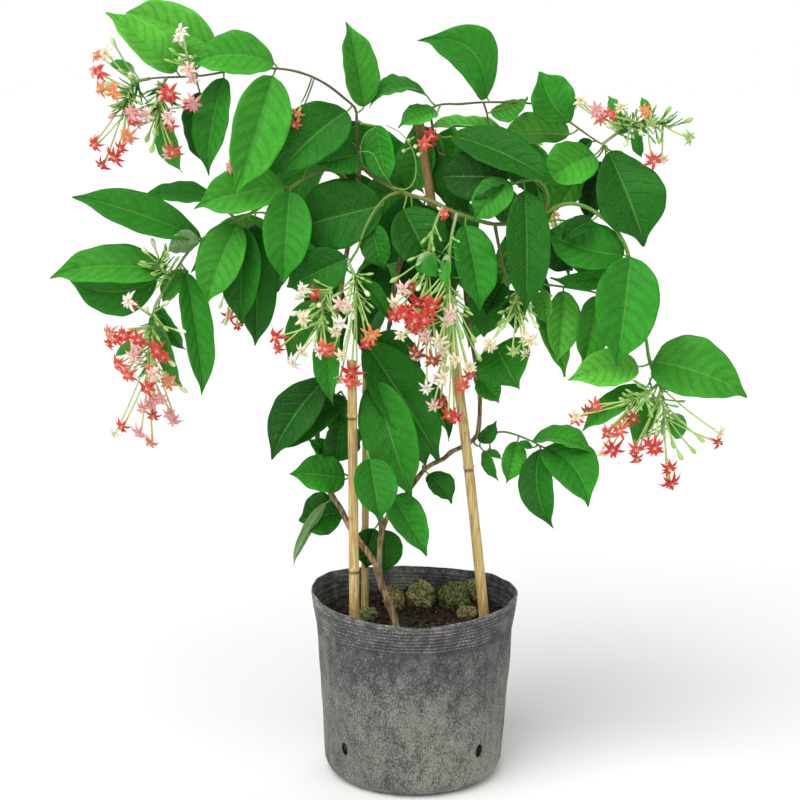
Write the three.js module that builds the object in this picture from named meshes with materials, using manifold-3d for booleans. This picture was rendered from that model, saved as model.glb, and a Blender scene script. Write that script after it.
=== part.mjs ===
// Potted rangoon creeper: a flowering vine on bamboo stakes in a soft nursery bag.
// Millimetres, +Z up, origin at the centre of the bag's flat base.

import * as THREE from 'three';
import { mergeVertices } from 'three/addons/utils/BufferGeometryUtils.js';
import Module from 'manifold-3d';

const wasm = await Module();
wasm.setup();

// Clearance between pieces that touch
const GAP = 0.3;

// Nursery bag: a soft plastic tube, narrower at the foot, with fine ridges under a flared rim
const BAG = {
  height: 219,
  rimRadius: 125,
  shoulder: 183,
  shoulderRadius: 119,
  footRadius: 109,
  footRound: 22,
  lean: 2.4,
  leanFrom: 120,
  saddle: 8,
  saddleFrom: 190,
  wall: 2,
  floor: 3,
  sides: 26,
  sway: 1.6,
  swayFrom: 90,
  swayFull: 110,
  swayTop: 80,
};
const RIDGES = { count: 4, top: 212, pitch: 8, depth: 1.6, groove: 0.6 };
const DRAIN = { angles: [-48, 45, 135, 228], z: 50, halfWidth: 6, halfHeight: 8.5, punch: 40, sides: 8 };
const SOIL = { level: 190, relief: 3.5, rings: 3, slow: 0.7, quick: 0.4 };
const LUMP = { bury: 0.68, rough: 0.13, coarse: 15 };
const BAMBOO = { sides: 7, taper: 0.85, nodeHalf: 4, nodeSwell: 0.9 };

// Viewpoint that the front of the plant is laid out from, and one above and behind it
const VIEWPOINT = new THREE.Vector3(-16, -2000, 841);
const REAR_VIEWPOINT = new THREE.Vector3(0, 1500, 1900);

// Blades, petals and stems
const BLADE = {
  rib: 2.3,
  fold: 0.3,
  bow: 0.07,
  skew: 0.8,
  swell: 1.05,
  wave: 0.035,
  petiole: 1.2,
  joint: 5,
  broad: 61,
  rows: [0, 0.13, 0.4, 0.74],
  fewRows: [0, 0.22, 0.62],
  oval: 0.65,
  dripFrom: 0.72,
  drip: 0.45,
  ripples: 11,
};
const STAR = { petals: 5, reach: 14, notch: 0.36, throat: 5, tube: 1.5, joint: 5, cup: 0.9, droop: 0.6 };
const FACING = { along: 0.6, outward: 0.3 };
const TUBE_SIDES = 3;
const BUD = { radius: 3.2, length: 6, stalk: 1.2, latest: 0.4 };
const SPRAY = { step: 24, radius: 2, endRadius: 1.6, first: 0.22, last: 0.99 };
const SHOOT = { step: 38, sides: 4, radii: [1.9, 1.2], side: 0.8 };
const VINE_SIDES = 5;

const COLOURS = {
  bag: 0x3b3d3e,
  soil: 0x33261f,
  moss: 0x55603a,
  bamboo: 0xc9a75c,
  bark: 0x8a6a48,
  leaf: 0x2f8a35,
  darkLeaf: 0x1f6b2b,
  brightLeaf: 0x45a53f,
  coral: 0xd9474a,
  blush: 0xe8a79a,
  cream: 0xe6dcae,
};

const group = new THREE.Group();

// Places and small helpers

/** A place given as seen on the upright plane through the bag's axis, carried out to its depth. */
function place([x, z, depth]) {
  const reach = (depth - VIEWPOINT.y) / -VIEWPOINT.y;
  return new THREE.Vector3(
    VIEWPOINT.x + (x - VIEWPOINT.x) * reach,
    depth,
    VIEWPOINT.z + (z - VIEWPOINT.z) * reach,
  );
}

/** A repeatable row of draws between 0 and 1. */
function draws(seed) {
  let state = seed;
  return () => {
    state = (state * 16807) % 2147483647;
    return state / 2147483647;
  };
}

/** The points of a smooth curve through the given places, about one step apart. */
function route(places, step = SHOOT.step) {
  const curve = new THREE.CatmullRomCurve3(places.map(place), false, 'catmullrom', 0.5);
  const count = Math.max(2, Math.round(curve.getLength() / step));
  return curve.getSpacedPoints(count);
}

// Closed meshes and solids

/** Adds the faces between two rings of corners, which may differ in count or be a single point. */
function stitch(faces, first, count, second, nextCount) {
  const ends = [count, nextCount].map((corners) => (corners > 1 ? corners : 0));
  let here = 0;
  let there = 0;
  while (here < ends[0] || there < ends[1]) {
    const share = here < ends[0] ? (here + 1) / ends[0] : Infinity;
    const nextShare = there < ends[1] ? (there + 1) / ends[1] : Infinity;
    // Where both rings are level the diagonals mirror each other from side to side
    const onNext = nextShare < share || (nextShare === share && here % 2 === 0);
    const corner = first + (here % count);
    const nextCorner = second + (there % nextCount);
    if (onNext) {
      there += 1;
      faces.push(corner, second + (there % nextCount), nextCorner);
    } else {
      here += 1;
      faces.push(corner, first + (here % count), nextCorner);
    }
  }
}

/** A closed mesh through rings of corners, with a point or a flat cap at either end. */
function loft(rings) {
  const positions = rings.flat().flatMap((corner) => corner.toArray());
  const faces = [];
  let start = 0;
  for (let row = 0; row + 1 < rings.length; row += 1) {
    const next = start + rings[row].length;
    stitch(faces, start, rings[row].length, next, rings[row + 1].length);
    start = next;
  }
  for (let corner = 1; corner + 1 < rings[0].length; corner += 1) {
    faces.push(0, corner + 1, corner);
  }
  for (let corner = 1; corner + 1 < rings[rings.length - 1].length; corner += 1) {
    faces.push(start, start + corner, start + corner + 1);
  }
  const geometry = new THREE.BufferGeometry();
  geometry.setAttribute('position', new THREE.Float32BufferAttribute(positions, 3));
  geometry.setIndex(faces);
  return geometry;
}

/** The solid that a closed geometry bounds. */
function solid(geometry) {
  const bare = geometry.clone();
  bare.deleteAttribute('normal');
  bare.deleteAttribute('uv');
  const merged = mergeVertices(bare, 1e-4);
  const flat = new wasm.Mesh({
    numProp: 3,
    vertProperties: new Float32Array(merged.attributes.position.array),
    triVerts: new Uint32Array(merged.index.array),
  });
  return new wasm.Manifold(flat);
}

/** All the solids in one, without loose scraps or sealed hollows. */
function fuse(solids) {
  let whole = solids[0];
  for (const next of solids.slice(1)) whole = whole.add(next);
  return largest(whole);
}

/** The largest piece of a solid. */
function largest(whole) {
  const pieces = whole.decompose();
  pieces.sort((first, second) => second.volume() - first.volume());
  return pieces[0];
}

/** Adds a solid to the group as a named mesh. */
function addSolid(name, body, colour, roughness = 0.6) {
  const { vertProperties, triVerts } = body.getMesh();
  const geometry = new THREE.BufferGeometry();
  geometry.setAttribute('position', new THREE.Float32BufferAttribute(vertProperties, 3));
  geometry.setIndex(new THREE.Uint32BufferAttribute(triVerts, 1));
  geometry.computeVertexNormals();
  const material = new THREE.MeshStandardMaterial({ color: colour, roughness, metalness: 0 });
  const mesh = new THREE.Mesh(geometry, material);
  mesh.name = name;
  group.add(mesh);
}

// Stems

/** Round rings of the given sizes about a row of points, square to the row. */
function ringsAlong(points, sizes, sides) {
  const curve = new THREE.CatmullRomCurve3(points, false, 'catmullrom', 0.5);
  const frames = curve.computeFrenetFrames(points.length - 1, false);
  return points.map((point, row) => Array.from({ length: sides }, (_, side) => {
    const angle = (2 * Math.PI * side) / sides;
    return point.clone()
      .addScaledVector(frames.normals[row], sizes[row] * Math.cos(angle))
      .addScaledVector(frames.binormals[row], sizes[row] * Math.sin(angle));
  }));
}

/** A round stem along its points, flat at both ends, tapering from one radius to the other. */
function stem(points, radius, endRadius, sides = SHOOT.sides) {
  const last = points.length - 1;
  const sizes = points.map((_, row) => THREE.MathUtils.lerp(radius, endRadius, row / last));
  return solid(loft(ringsAlong(points, sizes, sides)));
}

/** Closely spaced points on the straight stretches between a stem's points, short of its end. */
function rootsOn(points) {
  return points.slice(1).flatMap((point, index) => (
    [0.15, 0.4, 0.65, 0.88].map((t) => points[index].clone().lerp(point, t))));
}

/** The points of a line, its first one moved onto the nearest of its parent's lines. */
function seated(points, parentLines) {
  const stretches = parentLines.flatMap((line) => (
    line.slice(1).map((end, index) => new THREE.Line3(line[index], end))));
  const spots = stretches.map((stretch) => (
    stretch.closestPointToPoint(points[0], true, new THREE.Vector3())));
  const nearest = spots.reduce((best, spot) => (
    spot.distanceTo(points[0]) < best.distanceTo(points[0]) ? spot : best));
  return [nearest, ...points.slice(1)];
}

// Leaves

/** Half the width of a blade, from 0 at its base to 0 at its drawn-out tip. */
function bladeOutline(u, skew) {
  const oval = Math.sin(Math.PI * u ** skew) ** BLADE.oval;
  const drip = THREE.MathUtils.smoothstep(u, BLADE.dripFrom, 1);
  return oval * (1 - BLADE.drip * drip);
}

/**
 * One leaf: the seen places of its blade's base and tip, its seen width, and its turn in degrees
 * about the midrib, where 0 faces the viewpoint. bow arches the midrib, bend curves it sideways,
 * and a smaller skew brings the widest place nearer to the base.
 */
function leaf(base, tip, width, turn = 0, bow = BLADE.bow, bend = 0, skew = BLADE.skew) {
  return { base, tip, width, turn, bow, bend, skew, toward: VIEWPOINT };
}

/** The frame of a leaf: its base, its chord, its upper side, its left side and its true width. */
function leafFrame(shape) {
  const base = place(shape.base);
  const tip = place(shape.tip);
  const middle = base.clone().lerp(tip, 0.5);
  const chord = tip.clone().sub(base);
  const length = chord.length();
  chord.normalize();
  const facing = shape.toward.clone().sub(middle).normalize();
  facing.addScaledVector(chord, -facing.dot(chord)).normalize();
  const turn = THREE.MathUtils.degToRad(shape.turn);
  const across = chord.clone().cross(facing);
  const up = facing.clone().multiplyScalar(Math.cos(turn)).addScaledVector(across, Math.sin(turn));
  const side = chord.clone().cross(up);
  const reach = (middle.y - VIEWPOINT.y) / -VIEWPOINT.y;
  const width = (shape.width * reach) / Math.abs(Math.cos(turn));
  return { base, chord, length, up, side, width };
}

/** A leaf with its petiole, rooted in the nearest of the stem's points. */
function leafSolid(shape, stemPoints) {
  const { base, chord, length, up, side, width } = leafFrame(shape);
  const behind = base.clone().addScaledVector(chord, -BLADE.joint);
  const root = stemPoints.reduce((best, point) => (
    point.distanceTo(behind) < best.distanceTo(behind) ? point : best));
  const ring = (centre, half, rib, lift, wave) => [
    centre.clone().addScaledVector(side, half).addScaledVector(up, lift + wave),
    centre.clone().addScaledVector(up, -rib / 2),
    centre.clone().addScaledVector(side, -half).addScaledVector(up, lift - wave),
    centre.clone().addScaledVector(up, rib / 2),
  ];
  const thin = BLADE.petiole;
  const rings = [[root]];
  const gap = root.distanceTo(base);
  if (gap > 2 * BLADE.joint) {
    rings.push(ring(root.clone().lerp(base, BLADE.joint / gap), thin, 2 * thin, 0, 0));
  }
  for (const u of shape.width > BLADE.broad ? BLADE.rows : BLADE.fewRows) {
    const arch = 4 * u * (1 - u);
    const centre = base.clone()
      .addScaledVector(chord, length * u)
      .addScaledVector(up, shape.bow * length * arch)
      .addScaledVector(side, shape.bend * length * arch);
    const half = Math.max(thin, (width / 2) * BLADE.swell * bladeOutline(u, shape.skew));
    const wave = u === 0 ? 0 : BLADE.wave * width * Math.sin(BLADE.ripples * u + shape.base[0]);
    rings.push(ring(centre, half, BLADE.rib, u === 0 ? 0 : BLADE.fold * half, wave));
  }
  return solid(loft([...rings, [base.clone().addScaledVector(chord, length)]]));
}

// Flowers

/** One bloom: the seen place of its mouth and its size next to the usual. */
function bloom(mouth, size = 1) {
  return { mouth, size };
}

/** One closed bud: the seen place of its end. */
function bud(end, size = 1) {
  return { end, size };
}

/** A bloom: a slim tube from its root that opens into a star of pointed petals. */
function bloomSolid({ mouth: seen, size }, root) {
  const mouth = place(seen);
  const along = mouth.clone().sub(root).normalize();
  const outward = new THREE.Vector3(mouth.x, mouth.y, 0).normalize();
  const facing = new THREE.Vector3(0, Math.sign(mouth.y), 0)
    .addScaledVector(along, FACING.along)
    .addScaledVector(outward, FACING.outward)
    .normalize();
  const neck = mouth.clone().addScaledVector(facing, -STAR.throat);
  const turned = new THREE.Quaternion().setFromUnitVectors(new THREE.Vector3(0, 0, 1), facing);
  const reach = STAR.reach * size;
  const outline = Array.from({ length: 2 * STAR.petals }, (_, index) => {
    const angle = (Math.PI * index) / STAR.petals;
    const out = index % 2 ? reach * STAR.notch : reach;
    const lift = index % 2 ? STAR.cup : -STAR.droop;
    return new THREE.Vector3(out * Math.cos(angle), out * Math.sin(angle), lift)
      .applyQuaternion(turned)
      .add(mouth);
  });
  const rings = tubeRings(root, neck, STAR.tube, BUD.stalk);
  return solid(loft([[root], ...rings, outline, [mouth]]));
}

/** A closed bud: a slim tube from its root that swells and comes to a point. */
function budSolid({ end: seen, size }, root) {
  const end = place(seen);
  const swell = end.clone().lerp(root, Math.min(BUD.latest, BUD.length / root.distanceTo(end)));
  const rings = tubeRings(root, swell, BUD.radius * size, BUD.stalk);
  return solid(loft([[root], ...rings, [end]]));
}

/** The rings at the low and the high end of a slim tube. */
function tubeRings(root, end, radius, lowRadius) {
  const lean = new THREE.Quaternion().setFromUnitVectors(
    new THREE.Vector3(0, 0, 1),
    end.clone().sub(root).normalize(),
  );
  const low = root.clone().lerp(end, STAR.joint / root.distanceTo(end));
  return [[low, lowRadius], [end, radius]].map(([centre, size]) => (
    Array.from({ length: TUBE_SIDES }, (_, side) => {
      const angle = (2 * Math.PI * side) / TUBE_SIDES;
      return new THREE.Vector3(size * Math.cos(angle), size * Math.sin(angle), 0)
        .applyQuaternion(lean)
        .add(centre);
    })));
}

/** The solids of a spray: a stalk with its blooms and buds, rooted along it in their order. */
function spraySolids({ points, blooms, buds, first = SPRAY.first }) {
  const along = points[points.length - 1].clone().sub(points[0]);
  const flowers = [
    ...blooms.map((shape) => ({ shape, grow: bloomSolid, end: place(shape.mouth) })),
    ...buds.map((shape) => ({ shape, grow: budSolid, end: place(shape.end) })),
  ];
  flowers.sort((one, other) => one.end.dot(along) - other.end.dot(along));
  const rooted = flowers.map(({ shape, grow }, index) => {
    const share = THREE.MathUtils.lerp(first, SPRAY.last, (index + 0.5) / flowers.length);
    const t = share * (points.length - 1);
    const row = Math.floor(t);
    return grow(shape, points[row].clone().lerp(points[row + 1], t - row));
  });
  return [stem(points, SPRAY.radius, SPRAY.endRadius), ...rooted];
}

// What grows on what: a shoot with its leaves, a head with its flowers

/**
 * Adds a leafy shoot: its stems' routes, the first of them the main one, with radii, and its leaves.
 * Returns what others grow from: its stems, widened by the clearance, and their lines.
 */
function leafyShoot({ name, stems, radii = SHOOT.radii, leaves, parent, colour = COLOURS.leaf }) {
  const [main, ...others] = stems.map((places) => route(places));
  const routes = [seated(main, parent.lines), ...others];
  const grow = (clearance) => routes.map((points, index) => {
    const share = index ? SHOOT.side : 1;
    return stem(points, radii[0] * share + clearance, radii[1] * share + clearance);
  });
  const solids = grow(0);
  const roots = routes.flatMap(rootsOn);
  solids.push(...leaves.map((shape) => leafSolid(shape, roots)));
  addSolid(name, largest(fuse(solids).subtract(parent.seat)), colour);
  return { seat: fuse(grow(GAP)), lines: routes };
}

/** Adds a spray with its small bract leaves as one node, seated on what it grows from. */
function flowerSpray({ name, places, first, blooms, buds = [], bracts = [], parent, colour }) {
  const points = seated(route(places, SPRAY.step), parent.lines);
  const solids = spraySolids({ points, blooms, buds, first });
  const roots = rootsOn(points);
  solids.push(...bracts.map((shape) => leafSolid(shape, roots)));
  addSolid(name, largest(fuse(solids).subtract(parent.seat)), colour);
  return { seat: stem(points, SPRAY.radius + GAP, SPRAY.endRadius + GAP), lines: [points] };
}

// Bag, soil and what lies on it

/** Sways the bag's upright wall in and out with a few slow waves, and lifts its rim at both sides. */
function swayed(geometry) {
  const position = geometry.attributes.position;
  for (let index = 0; index < position.count; index += 1) {
    const x = position.getX(index);
    const y = position.getY(index);
    const z = position.getZ(index);
    const radius = Math.hypot(x, y);
    const angle = Math.atan2(y, x);
    const outer = THREE.MathUtils.smoothstep(radius, BAG.swayFrom, BAG.swayFull);
    const reach = outer * THREE.MathUtils.smoothstep(z, 0, BAG.swayTop);
    const wave = Math.sin(3 * angle + 0.6) + 0.6 * Math.sin(5 * angle - 1.1 + z / 60);
    const scale = radius > 0 ? 1 + (BAG.sway * reach * wave) / radius : 1;
    const drop = BAG.lean * (x / BAG.rimRadius) * THREE.MathUtils.smoothstep(z, BAG.leanFrom, BAG.height);
    const rise = BAG.saddle * (x / BAG.rimRadius) ** 2 * THREE.MathUtils.smoothstep(z, BAG.saddleFrom, BAG.height);
    position.setXYZ(index, x * scale, y * scale, z - drop + rise);
  }
  return geometry;
}

/** A closed shape turned about the Z axis from a profile of radius and height. */
function turned(profile, sides) {
  const outline = profile.map(([radius, z]) => new THREE.Vector2(radius, z));
  return new THREE.LatheGeometry(outline, sides).rotateX(Math.PI / 2);
}

function bagProfile() {
  const round = BAG.footRound;
  const foot = BAG.footRadius;
  const outer = [[0, 0], [foot - round, 0], [foot - 0.28 * round, 0.25 * round]];
  outer.push([foot, round], [BAG.shoulderRadius, BAG.shoulder]);
  for (let ridge = RIDGES.count - 1; ridge >= 0; ridge -= 1) {
    const z = RIDGES.top - ridge * RIDGES.pitch;
    const out = THREE.MathUtils.lerp(BAG.rimRadius, BAG.shoulderRadius, ridge / RIDGES.count);
    outer.push([out - RIDGES.depth, z - RIDGES.groove * RIDGES.pitch], [out, z]);
  }
  const inner = [
    [BAG.rimRadius - BAG.wall, BAG.height],
    [BAG.shoulderRadius - BAG.wall, SOIL.level],
    [foot - BAG.wall, round],
    [foot - 0.55 * round, BAG.floor],
    [0, BAG.floor],
  ];
  return [...outer, [BAG.rimRadius, BAG.height], ...inner];
}

function makeBag() {
  let bag = solid(swayed(turned(bagProfile(), BAG.sides)));
  for (const angle of DRAIN.angles) {
    const punch = new THREE.CylinderGeometry(1, 1, DRAIN.punch, DRAIN.sides)
      .scale(DRAIN.halfWidth, 1, DRAIN.halfHeight)
      .translate(0, -BAG.footRadius, DRAIN.z)
      .rotateZ(THREE.MathUtils.degToRad(angle));
    bag = bag.subtract(solid(punch));
  }
  return bag;
}

/** The soil's surface height over a spot of the bag. */
function soilHeight(x, y) {
  const slow = Math.sin(x / 23 + 1.3) * Math.cos(y / 19 - 0.4);
  const quick = Math.sin(x / 9 - 2.1) * Math.sin(y / 11 + 0.9);
  return SOIL.level + SOIL.relief * (SOIL.slow * slow + SOIL.quick * quick);
}

function makeSoil() {
  const edge = BAG.shoulderRadius - BAG.wall - GAP;
  const surface = Array.from({ length: SOIL.rings + 1 }, (_, ring) => (edge * ring) / SOIL.rings);
  const profile = surface.map((radius) => [radius, SOIL.level]);
  profile.push([BAG.footRadius - BAG.wall - GAP, BAG.footRound]);
  profile.push([BAG.footRadius - 0.56 * BAG.footRound - GAP, BAG.floor + GAP], [0, BAG.floor + GAP]);
  // Turned from the top down like the bag's inner wall, so that both split alike, then faced out
  const geometry = swayed(turned(profile, BAG.sides));
  const corners = geometry.index.array;
  for (let face = 0; face < corners.length; face += 3) {
    [corners[face], corners[face + 1]] = [corners[face + 1], corners[face]];
  }
  const position = geometry.attributes.position;
  for (let index = 0; index < position.count; index += 1) {
    if (position.getZ(index) > SOIL.level - 1) {
      position.setZ(index, soilHeight(position.getX(index), position.getY(index)));
    }
  }
  return solid(geometry);
}

// Mossy lumps: where each lies and its half sizes
const LUMPS = [
  { name: 'mossy_lump_1', at: [10, 52], half: [18.5, 16, 18] },
  { name: 'mossy_lump_2', at: [51, 42], half: [19, 16, 19] },
  { name: 'mossy_lump_3', at: [76, 70], half: [13, 11, 15] },
  { name: 'mossy_lump_4', at: [66, 4], half: [13, 11, 10] },
  { name: 'mossy_lump_5', at: [-56, -8], half: [13, 11, 10] },
  { name: 'mossy_lump_6', at: [-23, 34], half: [13, 11, 15] },
  { name: 'mossy_lump_7', at: [-26, 80], half: [13, 11, 9] },
];

/** A rough lump, swollen by a clearance where it is used to press its seat into the soil. */
function lump({ at, half }, clearance = 0) {
  const large = half[0] > LUMP.coarse;
  const geometry = large ? new THREE.IcosahedronGeometry(1, 1) : new THREE.OctahedronGeometry(1, 1);
  const position = geometry.attributes.position;
  const [x, y] = at;
  const centre = new THREE.Vector3(x, y, soilHeight(x, y) + LUMP.bury * half[2]);
  for (let index = 0; index < position.count; index += 1) {
    const corner = new THREE.Vector3().fromBufferAttribute(position, index);
    const wave = Math.sin(7 * corner.x + x) * Math.cos(6 * corner.y + y) * Math.sin(5 * corner.z + 1);
    const rough = 1 + LUMP.rough * wave;
    corner.set(
      corner.x * (half[0] * rough + clearance),
      corner.y * (half[1] * rough + clearance),
      corner.z * (half[2] * rough + clearance),
    ).add(centre);
    position.setXYZ(index, corner.x, corner.y, corner.z);
  }
  return solid(geometry);
}

// Bamboo stakes: places up each as seen, the height of each swollen ring, and the radius
const STAKES = [
  {
    name: 'stake_left',
    places: [[-71, 95, -76], [-72, 300, -70], [-73, 506, -63]],
    rings: [250, 440],
    radius: 6.3,
  },
  {
    name: 'stake_right',
    places: [[95, 112, -40], [61, 420, -30], [25, 664, -15], [4, 798, -4]],
    rings: [375, 600],
    radius: 6.3,
  },
  {
    name: 'stake_rear',
    places: [[-60, 95, 34], [-58, 300, 32], [-56, 520, 30]],
    rings: [300, 470],
    radius: 4.8,
  },
];

/** A bamboo stake with a swollen ring at each node, widened by a clearance for its hole. */
function stake({ places, rings, radius }, clearance = 0) {
  const curve = new THREE.CatmullRomCurve3(places.map(place), false, 'catmullrom', 0.5);
  const spread = [[0, 0], [1, 0]];
  const height = places[places.length - 1][1] - places[0][1];
  for (const z of rings) {
    const t = (z - places[0][1]) / height;
    const half = BAMBOO.nodeHalf / height;
    spread.push([t - half, 0], [t, BAMBOO.nodeSwell], [t + half, 0]);
  }
  spread.sort((first, second) => first[0] - second[0]);
  const points = spread.map(([t]) => curve.getPointAt(t));
  const sizes = spread.map(([t, swell]) => (
    THREE.MathUtils.lerp(radius, BAMBOO.taper * radius, t) + swell + clearance));
  return solid(loft(ringsAlong(points, sizes, BAMBOO.sides)));
}

// Woody vine: the trunk, its fork and the climbing stems, as seen and with their depth
const TRUNK = [[-12, 130, -33], [-22, 184, -33], [-31, 212, -32], [-39, 232, -30], [-43, 252, -28]];
const LEFT_STEM = [
  [-41, 240, -29], [-46, 257, -28], [-58, 276, -24], [-76, 302, -16], [-88, 328, -6], [-99, 345, 2],
  [-112, 380, 8], [-114, 430, 12], [-104, 480, 14], [-94, 540, 16], [-84, 600, 20], [-74, 660, 24],
  [-66, 705, 16], [-63, 735, 0],
];
const MIDDLE_STEM = [
  [-43, 244, -29], [-41, 262, -28], [-40, 285, -25], [-38, 305, -22], [-42, 340, -12], [-46, 385, -5],
  [-46, 430, 0], [-42, 480, 4], [-32, 530, 6], [-24, 580, 8], [-16, 630, 8],
];
const RIGHT_STEM = [
  [-39, 296, -23], [-30, 318, -20], [-14, 337, -15], [-4, 351, -10], [4, 363, -5], [13, 374, 0],
  [22, 381, 3], [36, 388, 6], [45, 396, 8], [57, 402, 10], [70, 410, 11], [77, 422, 11],
  [79, 460, 8], [74, 500, 2], [66, 545, -2], [60, 595, 2], [52, 645, 6], [42, 692, 8],
];

// Each piece of the wood with its radius at the foot and at the end
const WOOD = [
  [TRUNK, 5, 4.4],
  [LEFT_STEM, 3.6, 2.6],
  [MIDDLE_STEM, 3.3, 2.2],
  [RIGHT_STEM, 3, 2.2],
];

function vineSolids(clearance) {
  return fuse(WOOD.map(([places, radius, endRadius]) => (
    stem(route(places), radius + clearance, endRadius + clearance, VINE_SIDES))));
}

// The leafy shoots that the vine carries, as seen from the front

const TOP_LEFT = {
  name: 'leafy_shoot_top_left',
  radii: [1.6, 1.1],
  colour: COLOURS.brightLeaf,
  stems: [[
    [-63, 729, 3], [-64, 750, -6], [-66, 780, -12], [-67, 800, -15], [-78, 811, -18], [-100, 828, -20],
    [-125, 840, -22], [-155, 846, -22], [-200, 845, -15], [-245, 838, -12], [-290, 836, -12],
    [-312, 834, -14],
  ]],
  leaves: [
    leaf([-272, 843, -18], [-350, 910, -42], 38, 20),
    leaf([-227, 868, -2], [-330, 911, 28], 50, 15, 0.1),
    leaf([-160, 852, -26], [-257, 852, -34], 46, 25, 0.08, 0.07),
    leaf([-218, 836, -10], [-240, 725, -26], 38, 28),
    leaf([-246, 820, 8], [-240, 733, 26], 30, 40),
    leaf([-162, 838, -32], [-207, 703, -72], 62, -12),
    leaf([-57, 803, -20], [-76, 899, -34], 39, 25, 0.05),
    leaf([-77, 798, -22], [-156, 727, -46], 62, 20, 0.05, 0.03),
    leaf([-44, 782, -20], [-30, 714, -34], 34, 25, 0.02),
    leaf([-64, 748, -20], [-110, 738, -42], 44, 20),
  ],
};

const TOP_RIGHT = {
  name: 'leafy_shoot_top_right',
  radii: [1.5, 1.1],
  stems: [
    [
      [43, 688, 8], [38, 715, 8], [30, 745, 6], [22, 778, 2], [20, 800, -4], [34, 806, -6], [52, 806, -10],
      [78, 808, -12], [110, 808, -12], [140, 806, -10], [160, 800, -8], [185, 782, -5], [208, 766, -4],
      [222, 758, -4],
    ],
    [[80, 808, -12], [84, 796, -8], [86, 784, -2]],
  ],
  leaves: [
    leaf([14, 817, -4], [-52, 805, -20], 20, 64, 0.2),
    leaf([27, 797, -10], [-18, 781, -30], 22, 42),
    leaf([14, 768, 14], [-6, 702, 20], 44, 20),
    leaf([36, 748, 0], [64, 680, -14], 40, 30),
    leaf([100, 777, 4], [14, 781, 24], 12, 72, 0.03),
    leaf([84, 813, -14], [5, 878, -28], 54, 10, 0.06, 0.28),
    leaf([88, 797, -10], [132, 812, -22], 22, 135),
    leaf([180, 785, -8], [145, 843, -14], 50, 15, 0.05, -0.1, 1.1),
    leaf([180, 772, 0], [97, 769, -12], 35, 140),
    leaf([44, 770, -26], [168, 714, -78], 42, -32, 0.08),
    leaf([209, 748, 2], [150, 715, -22], 50, 25),
    leaf([210, 744, 13], [166, 686, 26], 44, 150),
    leaf([225, 751, -14], [270, 643, -44], 74, -15, 0.1, 0, 1.1),
    leaf([228, 753, 6], [240, 732, 28], 32, 10),
    leaf([206, 764, 6], [186, 752, 18], 14, 20),
    leaf([222, 740, 20], [202, 668, 52], 30, 40),
  ],
};

const RIGHT = {
  name: 'leafy_shoot_right',
  colour: COLOURS.brightLeaf,
  radii: [2.8, 2.1],
  stems: [
    [
      [-64, 731, 2], [-58, 733, -10], [-45, 722, -20], [-13, 705, -32], [20, 695, -40], [45, 683, -44],
      [80, 671, -44], [100, 668, -42], [125, 672, -38], [150, 680, -40], [165, 688, -42], [180, 692, -44],
      [195, 690, -46], [210, 683, -48], [225, 672, -50], [236, 661, -50], [244, 649, -50], [250, 636, -48],
      [256, 612, -42], [265, 575, -34], [274, 535, -30], [278, 512, -32], [284, 492, -34],
    ],
    [
      [152, 683, -41], [156, 694, -46], [154, 707, -52], [148, 716, -56], [140, 720, -58], [125, 718, -58],
      [113, 714, -56],
    ],
  ],
  leaves: [
    leaf([254, 630, -56], [241, 500, -88], 72, -8, 0.05),
    leaf([246, 632, -46], [150, 662, -34], 54, 30, 0.08, -0.12),
    leaf([244, 612, -34], [160, 603, -22], 22, -35),
    leaf([208, 673, -54], [172, 650, -60], 22, 30),
    leaf([283, 506, -38], [397, 465, -64], 68, -22, 0.05, -0.04, 0.62),
    leaf([266, 500, -40], [184, 485, -64], 42, 22),
    leaf([276, 474, -40], [200, 423, -56], 28, 30),
    leaf([129, 707, -64], [132, 563, -86], 50, -12, 0.07),
    leaf([112, 717, -58], [70, 673, -60], 40, 20),
    leaf([110, 722, -54], [26, 723, -26], 56, 20, 0.03),
    leaf([60, 667, -48], [79, 566, -74], 47, -20),
    leaf([-12, 686, -42], [26, 606, -54], 62, -15, 0.06),
    leaf([156, 660, -28], [186, 612, -15], 40, 20),
    leaf([-2, 686, -34], [47, 655, -28], 20, -35),
    leaf([43, 656, -50], [30, 566, -57], 42, 12),
  ],
};

const LEFT = {
  name: 'leafy_shoot_left',
  radii: [2.3, 1.4],
  stems: [
    [
      [-68, 697, 18], [-76, 715, 6], [-90, 728, -8], [-105, 731, -14], [-130, 719, -20], [-148, 707, -24],
      [-175, 690, -22], [-205, 672, -18], [-235, 658, -18], [-258, 642, -20], [-275, 620, -22],
      [-287, 600, -24], [-298, 582, -26],
    ],
    [[-205, 672, -18], [-222, 688, -6], [-232, 698, 4]],
  ],
  leaves: [
    leaf([-248, 652, -20], [-396, 702, -44], 44, 22, 0.06, 0, 1),
    leaf([-234, 698, 6], [-318, 699, 20], 23, 45),
    leaf([-150, 712, -28], [-256, 688, -46], 50, 25, 0.08),
    leaf([-144, 706, -34], [-153, 598, -60], 54, 0, 0.09),
    leaf([-206, 668, -26], [-245, 573, -50], 50, 15),
    leaf([-197, 664, -18], [-203, 549, -28], 46, 15),
    leaf([-186, 668, -6], [-186, 522, 14], 45, -10),
    leaf([-290, 613, -28], [-428, 607, -34], 44, 25, 0.07, 0.04),
    leaf([-300, 603, -20], [-406, 603, -12], 50, -20, 0.05, -0.12),
    leaf([-268, 612, -14], [-249, 464, -30], 34, -25, 0.05),
    leaf([-264, 613, -8], [-297, 576, 8], 24, 30),
    leaf([-250, 648, -30], [-288, 638, -44], 24, 140),
    leaf([-300, 572, -16], [-270, 518, -4], 22, 40),
  ],
};

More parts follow.
